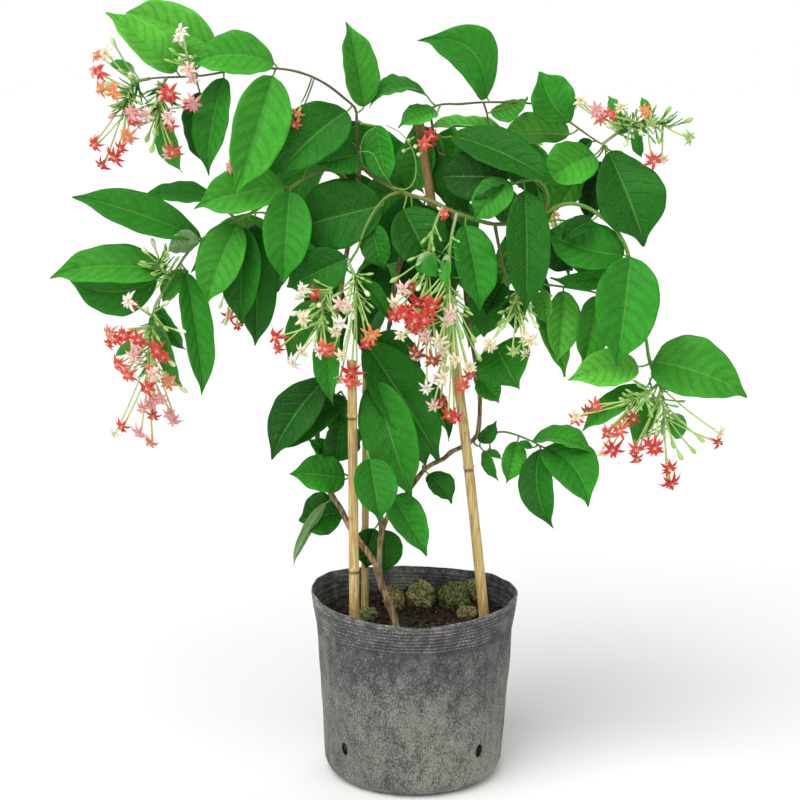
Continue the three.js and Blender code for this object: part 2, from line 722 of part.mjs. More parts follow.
const CENTRE = {
  name: 'leafy_shoot_centre',
  stems: [
    [
      [-12, 706, -33], [-22, 704, -42], [-35, 697, -48], [-48, 680, -54], [-58, 660, -58],
      [-65, 640, -58], [-73, 627, -56], [-82, 610, -52], [-90, 586, -46],
    ],
  ],
  leaves: [
    leaf([-36, 690, -42], [-142, 662, -10], 76, 12, 0.04),
    leaf([-78, 628, -50], [-150, 594, -36], 52, 2),
    leaf([-62, 606, -52], [-24, 550, -66], 18, -30),
    leaf([-50, 668, -46], [-34, 614, -58], 34, 15),
    leaf([-93, 566, -44], [-98, 452, -56], 30, 35),
  ],
};

const MIDDLE_RIGHT = {
  name: 'leafy_shoot_middle_right',
  stems: [[
    [94, 669, -40], [97, 655, -37], [101, 635, -32], [106, 612, -28], [112, 602, -26], [130, 599, -20],
    [150, 598, -14], [180, 594, -12], [205, 590, -12], [220, 586, -14],
  ]],
  leaves: [
    leaf([103, 599, -31], [85, 562, -46], 36, 20),
    leaf([112, 591, -35], [121, 540, -46], 26, -20),
    leaf([98, 612, -17], [82, 534, 4], 40, 15),
    leaf([151, 590, -20], [158, 550, -36], 24, 30),
    leaf([144, 588, -10], [181, 487, -16], 30, -20),
    leaf([176, 590, -16], [170, 505, -34], 38, -18),
    leaf([217, 584, -16], [200, 500, -34], 40, -18),
  ],
};

const INNER = {
  name: 'leafy_shoot_inner',
  colour: COLOURS.darkLeaf,
  stems: [[[-20, 606, 8], [-8, 640, 14], [4, 668, 16], [14, 698, 18], [22, 725, 20]]],
  leaves: [
    leaf([24, 734, 22], [0, 786, 24], 42, -10),
    leaf([34, 716, 26], [46, 784, 42], 46, 10),
    leaf([2, 700, 24], [-34, 618, 22], 52, -10),
    leaf([-6, 716, 26], [-62, 690, 34], 46, -10),
    leaf([20, 684, 20], [54, 604, 22], 56, 10),
    leaf([-2, 640, 22], [26, 562, 26], 52, 15),
    leaf([-38, 624, 20], [-62, 552, 16], 40, 0),
  ],
};

const LOW_RIGHT = {
  name: 'leafy_shoot_low_right',
  radii: [1.5, 1],
  stems: [
    [[76, 418, 11], [90, 417, 8], [105, 421, 5], [120, 418, 0], [140, 410, -6], [153, 403, -9]],
    [[94, 420, 7], [91, 408, 7], [93, 394, 5]],
  ],
  leaves: [
    leaf([142, 410, -8], [217, 393, -34], 24, -55, 0.16),
    leaf([157, 402, -12], [211, 330, -50], 54, -15, 0.08, -0.14),
    leaf([152, 400, -12], [168, 302, -46], 40, 14, 0.07, 0.1),
    leaf([124, 409, -4], [112, 358, -18], 28, -12),
    leaf([142, 402, -17], [122, 406, -22], 9, 35),
    leaf([86, 396, 6], [99, 363, -8], 14, 30),
    leaf([88, 397, 6], [106, 388, 2], 9, -30),
  ],
};

const SPUR_RIGHT = {
  name: 'leafy_spur_right',
  radii: [1.6, 1.1],
  stems: [[[78, 470, 8], [72, 488, -8], [78, 508, -14], [92, 530, -14]]],
  leaves: [
    leaf([76, 484, -15], [102, 457, -26], 28, -25),
    leaf([97, 524, -24], [124, 474, -64], 68, 0, 0.1),
  ],
};

const SPUR_LOW_RIGHT = {
  name: 'leafy_spur_low_right',
  radii: [1.5, 1],
  stems: [[[72, 411, 11], [74, 405, -6], [80, 403, -18]]],
  leaves: [leaf([80, 408, -18], [99, 433, -30], 18, 20), leaf([84, 398, -18], [101, 361, -34], 13, 20)],
};

const LOW_MIDDLE = {
  name: 'leafy_shoot_low_middle',
  colour: COLOURS.brightLeaf,
  stems: [
    [[-46, 428, 0], [-50, 452, -12], [-52, 480, -20], [-56, 510, -24], [-62, 538, -26]],
  ],
  leaves: [
    leaf([-46, 482, -44], [-3, 341, -62], 62, 10, 0.05),
    leaf([-56, 528, -28], [33, 385, -38], 64, -18, 0.03),
    leaf([-50, 532, -18], [10, 500, -4], 40, -20),
    leaf([-46, 494, -12], [10, 430, -2], 46, -25),
  ],
};

const SPUR_FRONT = {
  name: 'leafy_spur_front',
  stems: [[[-43, 345, -12], [-50, 356, -42], [-55, 378, -68], [-55, 398, -76]]],
  leaves: [leaf([-52, 388, -86], [-40, 310, -116], 50, -10, 0.06)],
};

const SPUR_TWIG = {
  name: 'leafy_spur_twig',
  radii: [1.4, 1],
  stems: [[[-17, 335, -15], [-24, 345, -25], [-28, 351, -34]]],
  leaves: [leaf([-25, 342, -38], [17, 268, -62], 40, -15, 0.07, 0, 0.6)],
};

const SPUR_TWIG_RIGHT = {
  name: 'leafy_spur_twig_right',
  radii: [1.4, 1],
  stems: [[[12, 373, 0], [11, 378, -9], [12, 380, -16]]],
  leaves: [leaf([18, 369, -18], [47, 334, -34], 28, -30, 0.1)],
};

const LOW_LEFT = {
  name: 'leafy_shoot_low_left',
  stems: [
    [[-114, 432, 12], [-108, 446, 2], [-98, 460, -4], [-86, 470, -8]],
    [[-96, 461, -5], [-94, 475, -9], [-95, 489, -12]],
  ],
  leaves: [
    leaf([-104, 485, -17], [-171, 388, -46], 50, 20, 0.06, 0.03, 0.9),
    leaf([-80, 462, -6], [-164, 396, -10], 36, 25),
    leaf([-84, 462, 4], [-84, 404, 8], 34, 10),
  ],
};

const LOW_LEFT_OUT = {
  name: 'leafy_spur_low_left',
  stems: [[[-112, 382, 8], [-98, 376, -8], [-76, 366, -20]]],
  leaves: [
    leaf([-82, 363, -28], [-148, 370, -48], 44, 20, 0.08),
    leaf([-94, 384, -12], [-88, 440, -16], 44, 40, 0.03),
    leaf([-103, 386, -16], [-124, 412, -30], 20, 40),
  ],
};

const BASE_LEFT = {
  name: 'leafy_spur_base_left',
  stems: [[[-99, 345, 2], [-94, 338, 14], [-86, 328, 20]]],
  leaves: [
    leaf([-84, 322, 24], [-138, 312, 20], 50, 15, 0.07, 0, 1),
    leaf([-105, 334, 8], [-147, 256, -20], 13, 150),
  ],
};

const BASE_MIDDLE = {
  name: 'leafy_spur_base_middle',
  stems: [[[-40, 288, -25], [-40, 300, -8], [-41, 310, 6]]],
  leaves: [
    leaf([-47, 302, 13], [-57, 252, 14], 38, 15),
    leaf([-34, 300, 6], [-33, 246, -6], 36, -15),
  ],
};

// Shoots on the far side: leaves stand along each by turns, on a rule, and face up and away

// How those leaves stand: the stretch of stem they grow on, their petiole and shape, and the least
// and greatest way they reach to the side, along the stem, down, in length and in turn
const FAR_LEAVES = {
  first: 0.18,
  last: 0.88,
  petiole: 11,
  slimness: 0.43,
  bow: 0.09,
  aside: [0.3, 0.7],
  along: [-0.1, 0.65],
  down: [0.3, 1.05],
  length: [0.72, 1.14],
  turn: [-25, 25],
};

/** Leaves by turns on both sides of a shoot, hanging out and down from its stem. */
function leavesAlong({ places, count, seed, size }) {
  const draw = draws(seed);
  const between = ([least, most]) => THREE.MathUtils.lerp(least, most, draw());
  const spots = places.map(([x, z, y]) => new THREE.Vector3(x, y, z));
  const curve = new THREE.CatmullRomCurve3(spots, false, 'catmullrom', 0.5);
  return Array.from({ length: count }, (_, index) => {
    const t = THREE.MathUtils.lerp(FAR_LEAVES.first, FAR_LEAVES.last, index / (count - 1));
    const at = curve.getPoint(t);
    const along = curve.getTangent(t).setZ(0).normalize();
    const way = new THREE.Vector3(along.y, -along.x, 0)
      .multiplyScalar((index % 2 ? 1 : -1) * between(FAR_LEAVES.aside))
      .addScaledVector(along, between(FAR_LEAVES.along))
      .setZ(-between(FAR_LEAVES.down))
      .normalize();
    const length = size * between(FAR_LEAVES.length);
    const base = at.clone().addScaledVector(way, FAR_LEAVES.petiole);
    const tip = base.clone().addScaledVector(way, length);
    const [from, to] = [base, tip].map(({ x, y, z }) => [x, z, y]);
    const blade = leaf(from, to, FAR_LEAVES.slimness * length, between(FAR_LEAVES.turn), FAR_LEAVES.bow);
    return { ...blade, toward: REAR_VIEWPOINT };
  });
}

const BACK = [
  {
    name: 'leafy_shoot_back_left',
    places: [[-94, 540, 16], [-112, 605, 48], [-140, 655, 88], [-170, 680, 125], [-195, 680, 160]],
    count: 7,
    seed: 29,
    size: 100,
  },
  {
    name: 'leafy_shoot_back_high_left',
    places: [[-70, 680, 22], [-84, 728, 60], [-96, 772, 108], [-104, 792, 158], [-110, 788, 205]],
    count: 7,
    seed: 5,
    size: 118,
  },
  {
    name: 'leafy_shoot_back_middle',
    places: [[-24, 580, 8], [-16, 622, 52], [-6, 652, 105], [2, 668, 160], [8, 668, 210]],
    count: 7,
    seed: 47,
    size: 104,
  },
  {
    name: 'leafy_shoot_back_high_right',
    places: [[48, 664, 7], [62, 718, 50], [85, 760, 104], [108, 776, 150], [125, 772, 195]],
    count: 7,
    seed: 67,
    size: 104,
  },
  {
    name: 'leafy_shoot_back_right',
    places: [[64, 560, 0], [92, 614, 38], [125, 652, 80], [160, 672, 122], [190, 670, 160]],
    count: 7,
    seed: 9,
    size: 90,
  },
  {
    name: 'leafy_shoot_back_low',
    places: [[-45, 432, 0], [-24, 464, 34], [-8, 490, 78], [0, 502, 124]],
    count: 5,
    seed: 88,
    size: 84,
  },
];

// Flower heads, a spray at a time

const SPRAYS = [
  {
    name: 'flower_spray_top_left_outer',
    colour: COLOURS.coral,
    on: 'leafy_shoot_top_left',
    places: [[-303, 835, -13], [-316, 832, -22], [-326, 824, -30], [-330, 808, -34], [-332, 790, -36]],
    blooms: [
      bloom([-353, 863, -34]), bloom([-360, 842, -52]), bloom([-345, 820, -70]), bloom([-324, 796, -78]),
      bloom([-330, 769, -60]), bloom([-368, 760, -36]), bloom([-346, 746, -44], 1.15),
    ],
    buds: [bud([-347, 882, -24]), bud([-325, 842, -64]), bud([-356, 830, -26]), bud([-352, 790, -52])],
    bracts: [leaf([-320, 842, -20], [-350, 853, -10], 11, 35)],
  },
  {
    name: 'flower_spray_top_left_inner',
    colour: COLOURS.coral,
    on: 'leafy_shoot_top_left',
    places: [[-284, 836, -12], [-290, 822, -24], [-293, 806, -30], [-294, 786, -34]],
    blooms: [
      bloom([-281, 818, -60], 1.2), bloom([-308, 793, -62]), bloom([-284, 790, -76]),
      bloom([-254, 806, -46]), bloom([-279, 752, -50]),
    ],
    buds: [bud([-310, 762, -40]), bud([-304, 750, -58]), bud([-300, 772, -70])],
    bracts: [leaf([-288, 796, -22], [-270, 727, -14], 25, 40)],
  },
  {
    name: 'flower_spray_top_left_high',
    colour: COLOURS.cream,
    on: 'leafy_shoot_top_left',
    places: [[-248, 838, -12], [-256, 848, -24], [-260, 862, -30]],
    blooms: [bloom([-266, 888, -44]), bloom([-258, 844, -62])],
    buds: [],
  },
  {
    name: 'flower_spray_left',
    colour: COLOURS.coral,
    on: 'leafy_shoot_left',
    places: [
      [-296, 586, -26], [-303, 574, -32], [-308, 556, -34], [-311, 536, -36], [-313, 512, -38],
      [-314, 488, -38],
    ],
    blooms: [
      bloom([-335, 578, -62]), bloom([-358, 540, -52]), bloom([-340, 537, -74], 1.1),
      bloom([-324, 532, -92]), bloom([-303, 519, -84], 1.1), bloom([-331, 512, -70]),
      bloom([-349, 503, -54]), bloom([-338, 490, -84]), bloom([-308, 490, -98], 1.1),
      bloom([-316, 474, -78]), bloom([-290, 480, -64]), bloom([-301, 460, -72], 0.9),
      bloom([-321, 450, -56], 0.9), bloom([-290, 443, -50], 0.8), bloom([-347, 428, -46], 0.9),
      bloom([-327, 420, -42], 0.9),
    ],
    buds: [
      bud([-316, 572, -64]), bud([-288, 578, -56]), bud([-268, 541, -50]), bud([-268, 468, -36]),
      bud([-282, 500, -60]),
    ],
    bracts: [
      leaf([-318, 530, -28], [-354, 512, -14], 12, 30),
      leaf([-304, 560, -24], [-276, 474, -12], 20, 30),
    ],
  },
  {
    name: 'flower_spray_left_high',
    colour: COLOURS.cream,
    on: 'leafy_shoot_left',
    places: [[-286, 604, -25], [-294, 614, -34], [-300, 626, -40]],
    blooms: [],
    buds: [bud([-318, 642, -58]), bud([-306, 652, -42])],
  },
  {
    name: 'flower_spray_centre_left',
    colour: COLOURS.cream,
    on: 'leafy_shoot_centre',
    places: [[-86, 598, -48], [-95, 594, -58], [-104, 582, -66], [-107, 566, -70], [-108, 546, -72]],
    blooms: [
      bloom([-130, 592, -90]), bloom([-130, 556, -100]), bloom([-162, 535, -70]),
      bloom([-132, 518, -76], 0.9), bloom([-104, 522, -104]), bloom([-86, 551, -114]),
    ],
    buds: [bud([-142, 582, -78]), bud([-146, 562, -86]), bud([-112, 572, -106]), bud([-118, 528, -86])],
  },
  {
    name: 'flower_spray_centre_front',
    colour: COLOURS.coral,
    on: 'leafy_shoot_centre',
    places: [[-75, 622, -54], [-69, 606, -66], [-67, 588, -74], [-68, 568, -78]],
    blooms: [
      bloom([-86, 574, -124], 1.15), bloom([-50, 538, -104], 1.1), bloom([-85, 512, -104], 0.9),
      bloom([-74, 494, -86], 1.3),
    ],
    buds: [bud([-52, 584, -98]), bud([-72, 556, -114])],
  },
  {
    name: 'flower_spray_middle_left',
    colour: COLOURS.coral,
    on: 'leafy_shoot_right',
    places: [[34, 688, -42], [25, 668, -63], [18, 640, -72], [16, 606, -76], [15, 570, -78]],
    first: 0.5,
    blooms: [
      bloom([-12, 592, -104]), bloom([-22, 574, -88]), bloom([2, 556, -116], 1.15), bloom([14, 536, -98]),
      bloom([4, 516, -84]), bloom([22, 508, -108]), bloom([16, 474, -92]),
    ],
    buds: [bud([-28, 600, -86]), bud([4, 590, -110]), bud([-10, 540, -96])],
    bracts: [leaf([10, 634, -78], [27, 606, -88], 26, 20)],
  },
  {
    name: 'flower_spray_middle',
    colour: COLOURS.coral,
    on: 'leafy_shoot_right',
    places: [[50, 681, -43], [44, 652, -68], [41, 616, -80], [43, 584, -82], [48, 550, -80]],
    first: 0.5,
    blooms: [
      bloom([22, 572, -124], 1.2), bloom([44, 562, -108], 1.15), bloom([30, 530, -120]),
      bloom([50, 508, -112]), bloom([66, 500, -92]), bloom([36, 486, -106], 1.1),
      bloom([58, 476, -88]), bloom([24, 452, -82], 0.9), bloom([42, 442, -98], 0.9),
    ],
    buds: [bud([58, 532, -98]), bud([74, 528, -84]), bud([80, 506, -78])],
    bracts: [leaf([40, 632, -80], [38, 590, -96], 14, 30)],
  },
  {
    name: 'flower_spray_middle_right',
    colour: COLOURS.cream,
    on: 'leafy_shoot_middle_right',
    places: [[122, 601, -23], [122, 591, -38], [121, 575, -50], [120, 556, -57]],
    blooms: [bloom([90, 525, -82], 1.1), bloom([138, 530, -88], 1.15), bloom([118, 518, -78], 0.8)],
    buds: [bud([104, 545, -92]), bud([147, 545, -78])],
  },
  {
    name: 'flower_spray_right_outer',
    colour: COLOURS.coral,
    on: 'leafy_shoot_right',
    places: [[286, 489, -36], [291, 480, -44], [296, 462, -48], [298, 442, -49], [298, 420, -50]],
    blooms: [
      bloom([266, 400, -78]), bloom([288, 402, -90], 1.2), bloom([306, 376, -70], 1.1),
      bloom([310, 358, -54], 1.1), bloom([366, 419, -60], 0.8),
    ],
    buds: [bud([338, 394, -50]), bud([348, 408, -70]), bud([322, 386, -84]), bud([312, 400, -56])],
    bracts: [
      leaf([304, 442, -44], [320, 412, -30], 22, -30),
      leaf([291, 462, -34], [262, 404, -26], 26, 30),
    ],
  },
  {
    name: 'flower_spray_right_inner',
    colour: COLOURS.coral,
    on: 'flower_spray_right_outer',
    places: [[291, 480, -44], [280, 470, -60], [266, 461, -68], [252, 455, -72]],
    blooms: [
      bloom([216, 453, -82], 0.8), bloom([194, 440, -76], 0.9), bloom([262, 437, -88], 0.8),
      bloom([246, 423, -96]), bloom([238, 400, -80], 1.25),
    ],
    buds: [bud([228, 418, -70])],
  },
  {
    name: 'flower_spray_top_right',
    colour: COLOURS.blush,
    on: 'leafy_shoot_top_right',
    places: [
      [218, 761, -4], [232, 771, -10], [246, 780, -16], [262, 786, -20], [280, 785, -24], [296, 778, -26],
    ],
    blooms: [
      bloom([192, 810, -28], 0.8), bloom([210, 799, -44]), bloom([238, 802, -56], 0.9),
      bloom([266, 799, -66], 0.8), bloom([277, 742, -46], 1.1), bloom([318, 768, -60], 0.7),
    ],
    buds: [
      bud([222, 782, -44]), bud([244, 758, -50]), bud([262, 772, -66]), bud([296, 804, -40]),
      bud([322, 790, -44]),
    ],
    bracts: [
      leaf([268, 790, -20], [262, 814, -10], 11, 30),
      leaf([238, 778, -10], [224, 816, -2], 17, 30),
      leaf([258, 780, -14], [263, 744, -4], 13, 30),
    ],
  },
];

// Flowers of a spray on the far side: each third one is a bud, and each stands a turn (in radians)
// on from the last, out from the stalk's end and ever lower
const FAR_FLOWERS = { count: 8, turn: 2.4, out: [20, 38], drop: 67, scatter: 8 };

/** A spray with blooms and buds in a loose ball round the end of its stalk, on a rule. */
function sprayAt({ name, on, places, colour, seed }) {
  const draw = draws(seed);
  const end = new THREE.Vector3(...places[places.length - 1]);
  const spots = Array.from({ length: FAR_FLOWERS.count }, (_, index) => {
    const turn = index * FAR_FLOWERS.turn;
    const out = THREE.MathUtils.lerp(...FAR_FLOWERS.out, draw());
    const drop = (index * FAR_FLOWERS.drop) / FAR_FLOWERS.count + FAR_FLOWERS.scatter * draw();
    const depth = end.z + out * Math.sin(turn) + FAR_FLOWERS.scatter;
    return [end.x + out * Math.cos(turn), end.y - drop, depth];
  });
  const isBud = (_, index) => index % 3 === 1;
  const blooms = spots.filter((spot, index) => !isBud(spot, index)).map((spot) => bloom(spot));
  return { name, on, colour, places, blooms, buds: spots.filter(isBud).map((spot) => bud(spot)) };
}

const BACK_SPRAYS = [
  {
    name: 'flower_spray_back_left',
    on: 'leafy_shoot_back_left',
    colour: COLOURS.coral,
    seed: 31,
    places: [[-193, 680, 157], [-202, 674, 174], [-207, 655, 187], [-208, 632, 194], [-208, 610, 197]],
  },
  {
    name: 'flower_spray_back_middle',
    on: 'leafy_shoot_back_middle',
    colour: COLOURS.coral,
    seed: 17,
    places: [[8, 668, 207], [10, 662, 225], [12, 644, 240], [13, 620, 247], [13, 598, 250]],
  },
  {
    name: 'flower_spray_back_right',
    on: 'leafy_shoot_back_high_right',
    colour: COLOURS.blush,
    seed: 77,
    places: [[124, 773, 192], [132, 766, 208], [138, 748, 220], [141, 726, 227], [142, 706, 230]],
  },
];

// Assembly

const lumps = LUMPS.map((spec) => lump(spec));
const stakes = STAKES.map((spec) => stake(spec));
const vine = vineSolids(0);
let soil = makeSoil();
for (const spec of LUMPS) soil = soil.subtract(lump(spec, GAP));
for (const spec of STAKES) soil = soil.subtract(stake(spec, GAP));
soil = soil.subtract(vineSolids(GAP));

addSolid('bag', makeBag(), COLOURS.bag, 0.75);
addSolid('soil', largest(soil), COLOURS.soil, 0.95);
LUMPS.forEach((spec, index) => addSolid(spec.name, lumps[index], COLOURS.moss, 0.95));
STAKES.forEach((spec, index) => addSolid(spec.name, stakes[index], COLOURS.bamboo, 0.5));
addSolid('woody_vine', vine, COLOURS.bark, 0.8);

const shootsOnVine = [
  TOP_LEFT, TOP_RIGHT, RIGHT, LEFT, SPUR_RIGHT, LOW_RIGHT, SPUR_LOW_RIGHT, LOW_MIDDLE, SPUR_FRONT,
  SPUR_TWIG, SPUR_TWIG_RIGHT, LOW_LEFT, LOW_LEFT_OUT, BASE_LEFT, BASE_MIDDLE, INNER,
];
const grown = { woody_vine: { seat: vineSolids(GAP), lines: WOOD.map(([places]) => route(places)) } };
for (const shoot of shootsOnVine) {
  grown[shoot.name] = leafyShoot({ ...shoot, parent: grown.woody_vine });
}
for (const shoot of [CENTRE, MIDDLE_RIGHT]) {
  grown[shoot.name] = leafyShoot({ ...shoot, parent: grown.leafy_shoot_right });
}
for (const { name, places, count, seed, size } of BACK) {
  const leaves = leavesAlong({ places, count, seed, size });
  const shape = { name, stems: [places], leaves, colour: COLOURS.darkLeaf };
  grown[name] = leafyShoot({ ...shape, parent: grown.woody_vine });
}
for (const spray of [...SPRAYS, ...BACK_SPRAYS.map(sprayAt)]) {
  grown[spray.name] = flowerSpray({ ...spray, parent: grown[spray.on] });
}

export default group;
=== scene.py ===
"""The potted rangoon creeper with its looks: leaves, blooms, bark, bamboo, soil and the nursery bag."""

import logging
import math
from collections.abc import Callable, Sequence
from dataclasses import dataclass, field
from enum import Enum
from functools import lru_cache

import bpy
import numpy as np
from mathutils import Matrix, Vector, noise


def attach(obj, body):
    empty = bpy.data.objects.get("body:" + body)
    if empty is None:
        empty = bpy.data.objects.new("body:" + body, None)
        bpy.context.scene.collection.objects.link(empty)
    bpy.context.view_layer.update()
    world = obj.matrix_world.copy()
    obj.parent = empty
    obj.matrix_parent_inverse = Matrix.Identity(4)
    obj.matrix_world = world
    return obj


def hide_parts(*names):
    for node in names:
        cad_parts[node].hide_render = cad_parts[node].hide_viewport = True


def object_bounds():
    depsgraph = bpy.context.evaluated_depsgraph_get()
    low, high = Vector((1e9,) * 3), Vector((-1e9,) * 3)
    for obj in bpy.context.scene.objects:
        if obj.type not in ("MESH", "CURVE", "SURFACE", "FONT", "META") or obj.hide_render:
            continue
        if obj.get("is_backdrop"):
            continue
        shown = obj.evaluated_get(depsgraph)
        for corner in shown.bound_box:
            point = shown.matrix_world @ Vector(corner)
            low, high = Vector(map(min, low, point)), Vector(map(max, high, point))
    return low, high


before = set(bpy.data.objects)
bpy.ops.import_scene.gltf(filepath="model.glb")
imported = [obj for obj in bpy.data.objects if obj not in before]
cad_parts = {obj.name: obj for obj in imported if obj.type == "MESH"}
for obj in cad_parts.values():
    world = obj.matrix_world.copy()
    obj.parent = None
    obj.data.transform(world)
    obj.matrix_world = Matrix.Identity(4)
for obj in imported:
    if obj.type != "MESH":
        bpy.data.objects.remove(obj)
CAD_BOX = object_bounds()

LOG = logging.getLogger("creeper")

Array = np.ndarray
Seen = tuple[float, float, float]
Lines = dict[str, list[Array]]
Material, Piece, Socket = bpy.types.Material, bpy.types.Object, bpy.types.NodeSocket

# Millimetres in the source, metres in Blender
MM = 0.001

# The viewpoint that the front of the plant is laid out from, and one above and behind it
FRONT_EYE = (-16.0, -2000.0, 841.0)
REAR_EYE = (0.0, 1500.0, 1900.0)

# How high the soil stands in the bag, in millimetres
SOIL_LEVEL = 190.0


# Small helpers


def linear(code: str) -> Array:
    """Turns an sRGB colour into linear light.

    Args:
        code: the colour as six hex digits after a hash.

    Returns:
        Red, green and blue from 0 to 1 in linear light.
    """
    shares = [int(code[i : i + 2], 16) / 255 for i in (1, 3, 5)]
    return np.array([s / 12.92 if s <= 0.04045 else ((s + 0.055) / 1.055) ** 2.4 for s in shares])


def unit(vector: Array) -> Array:
    """Returns the vector at length one."""
    return vector / np.linalg.norm(vector)


def blend(first: Array, second: Array, share: Array) -> Array:
    """Returns the first at a share of 0 and the second at 1."""
    return first * (1 - share) + second * share


def ease(low: float, high: float, value: Array) -> Array:
    """Rises smoothly from 0 at low to 1 at high.

    Args:
        low: where the rise starts.
        high: where it ends.
        value: the values to place on it.

    Returns:
        The share for each value.
    """
    share = np.clip((np.asarray(value, float) - low) / (high - low), 0, 1)
    return share * share * (3 - 2 * share)


def draws(seed: int) -> Callable[[], float]:
    """Makes a repeatable row of draws between 0 and 1.

    Args:
        seed: where the row starts.

    Returns:
        A function that gives the next draw.
    """
    state = [seed]

    def draw() -> float:
        """Returns the next draw."""
        state[0] = state[0] * 16807 % 2147483647
        return state[0] / 2147483647

    return draw


def place(seen: Seen) -> Array:
    """Carries a place seen on the upright plane through the bag's axis out to its depth.

    Args:
        seen: across, up and depth in millimetres.

    Returns:
        The place in millimetres.
    """
    across, height, depth = seen
    eye_x, eye_y, eye_z = FRONT_EYE
    reach = (depth - eye_y) / -eye_y
    return np.array([eye_x + (across - eye_x) * reach, depth, eye_z + (height - eye_z) * reach])


def placed(row: Sequence[Seen]) -> Array:
    """Returns the places of a row of seen places."""
    return np.array([place(seen) for seen in row])


def on_curve(points: Array, share: float) -> Array:
    """Finds a point on the smooth curve through a row of points.

    Args:
        points: the points that the curve passes.
        share: 0 at the first point and 1 at the last, with the stretches even.

    Returns:
        The point at that share.
    """
    row = share * (len(points) - 1)
    start = min(int(row), len(points) - 2)
    part = row - start
    here, there = points[start], points[start + 1]
    before = points[start - 1] if start else 2 * here - there
    after = points[start + 2] if start + 2 < len(points) else 2 * there - here
    leave, arrive = (there - before) / 2, (after - here) / 2
    bend = 2 * (here - there) + leave + arrive
    swing = -3 * (here - there) - 2 * leave - arrive
    return ((bend * part + swing) * part + leave) * part + here


def smooth_line(points: Array, step: float) -> Array:
    """Spaces points evenly on the smooth curve through a row of points.

    Args:
        points: the points that the curve passes.
        step: about how far apart the new points stand, in millimetres.

    Returns:
        The new points in their order.
    """
    fine = np.array([on_curve(points, t) for t in np.linspace(0, 1, 14 * (len(points) - 1) + 1)])
    run = np.concatenate([[0], np.cumsum(np.linalg.norm(np.diff(fine, axis=0), axis=1))])
    even = np.linspace(0, run[-1], max(4, round(run[-1] / step) + 1))
    return np.column_stack([np.interp(even, run, fine[:, axis]) for axis in range(3)])


def nearest_on(lines: Sequence[Array], spot: Array) -> Array:
    """Finds the place on some lines that is nearest to a spot.

    Args:
        lines: rows of points.
        spot: the place to start from.

    Returns:
        The nearest place on the stretches between the points.
    """
    found = []
    for line in lines:
        start, run = line[:-1], np.diff(line, axis=0)
        part = np.clip(((spot - start) * run).sum(1) / np.maximum((run**2).sum(1), 1e-9), 0, 1)
        found.append(start + run * part[:, None])
    places = np.vstack(found)
    return places[np.argmin(np.linalg.norm(places - spot, axis=1))]


def frames_along(line: Array) -> tuple[Array, Array, Array]:
    """Turns a pair of cross directions along a line without twist.

    Args:
        line: the points of the line.

    Returns:
        Two directions square to the line and to each other, and the line's own, for each point.
    """
    along = np.gradient(line, axis=0)
    along /= np.linalg.norm(along, axis=1)[:, None]
    first = np.eye(3)[np.argmin(np.abs(along[0]))]
    across = []
    for way in along:
        first = unit(first - way * (first @ way))
        across.append(first)
    across = np.array(across)
    return across, np.cross(along, across), along


def linked(name: str, data: bpy.types.ID) -> Piece:
    """Adds a piece to the scene.

    Args:
        name: its name.
        data: the mesh, light or camera that it shows.

    Returns:
        The piece.
    """
    piece = bpy.data.objects.new(name, data)
    bpy.context.scene.collection.objects.link(piece)
    return piece


def pick(piece: Piece) -> None:
    """Selects one piece alone and makes it the active one.

    Args:
        piece: the piece.
    """
    bpy.ops.object.select_all(action="DESELECT")
    piece.select_set(True)
    bpy.context.view_layer.objects.active = piece


def read(rows: bpy.types.bpy_prop_collection, name: str, width: int = 1, kind: type = int) -> Array:
    """Reads one value of each element of a mesh.

    Args:
        rows: the elements.
        name: the value's name.
        width: how many numbers an element holds.
        kind: the type of number.

    Returns:
        A number for each element, or a row of them.
    """
    values = np.empty(len(rows) * width, kind)
    rows.foreach_get(name, values)
    return values if width == 1 else values.reshape(-1, width)


# Shapes modelled once and laid many times


@dataclass
class UnitShape:
    """A shape modelled once at unit size: its points, and its faces with texture places."""

    points: Array
    corners: Array
    sizes: Array
    texture: Array

    @classmethod
    def taken_from(cls, piece: Piece) -> "UnitShape":
        """Reads a modelled piece and removes it.

        Args:
            piece: the piece that the mesh tools made.

        Returns:
            Its points and faces.
        """
        mesh = piece.data
        shape = cls(
            read(mesh.vertices, "co", 3, float), read(mesh.loops, "vertex_index"),
            read(mesh.polygons, "loop_total"), read(mesh.uv_layers[0].data, "uv", 2, float),
        )
        bpy.data.objects.remove(piece)
        bpy.data.meshes.remove(mesh)
        return shape

    def spots(self) -> tuple[Array, Array, Array]:
        """Returns a sheet's places across from -1 to 1, along from 0 to 1, and off its middle."""
        across, along, level = self.points.T
        return across, (along + 1) / 2, level


def new_grid(columns: int, rows: int) -> Piece:
    """Adds a flat grid two units wide with texture places from 0 to 1.

    Args:
        columns: faces across.
        rows: faces along.

    Returns:
        The grid, as the only piece selected.
    """
    bpy.ops.object.select_all(action="DESELECT")
    bpy.ops.mesh.primitive_grid_add(x_subdivisions=columns, y_subdivisions=rows, size=2, calc_uvs=True)
    return bpy.context.object


@lru_cache(maxsize=None)
def unit_sheet(columns: int, rows: int) -> UnitShape:
    """Models a thin sheet with an upper side, an underside and a rim.

    Args:
        columns: faces across, from -1 to 1 on X.
        rows: faces along, from -1 to 1 on Y.

    Returns:
        The sheet, one side above Z = 0 and the other below.
    """
    sheet = new_grid(columns, rows)
    thickness = sheet.modifiers.new("thickness", "SOLIDIFY")
    thickness.thickness = 0.2
    thickness.offset = 0
    bpy.ops.object.modifier_apply(modifier="thickness")
    return UnitShape.taken_from(sheet)


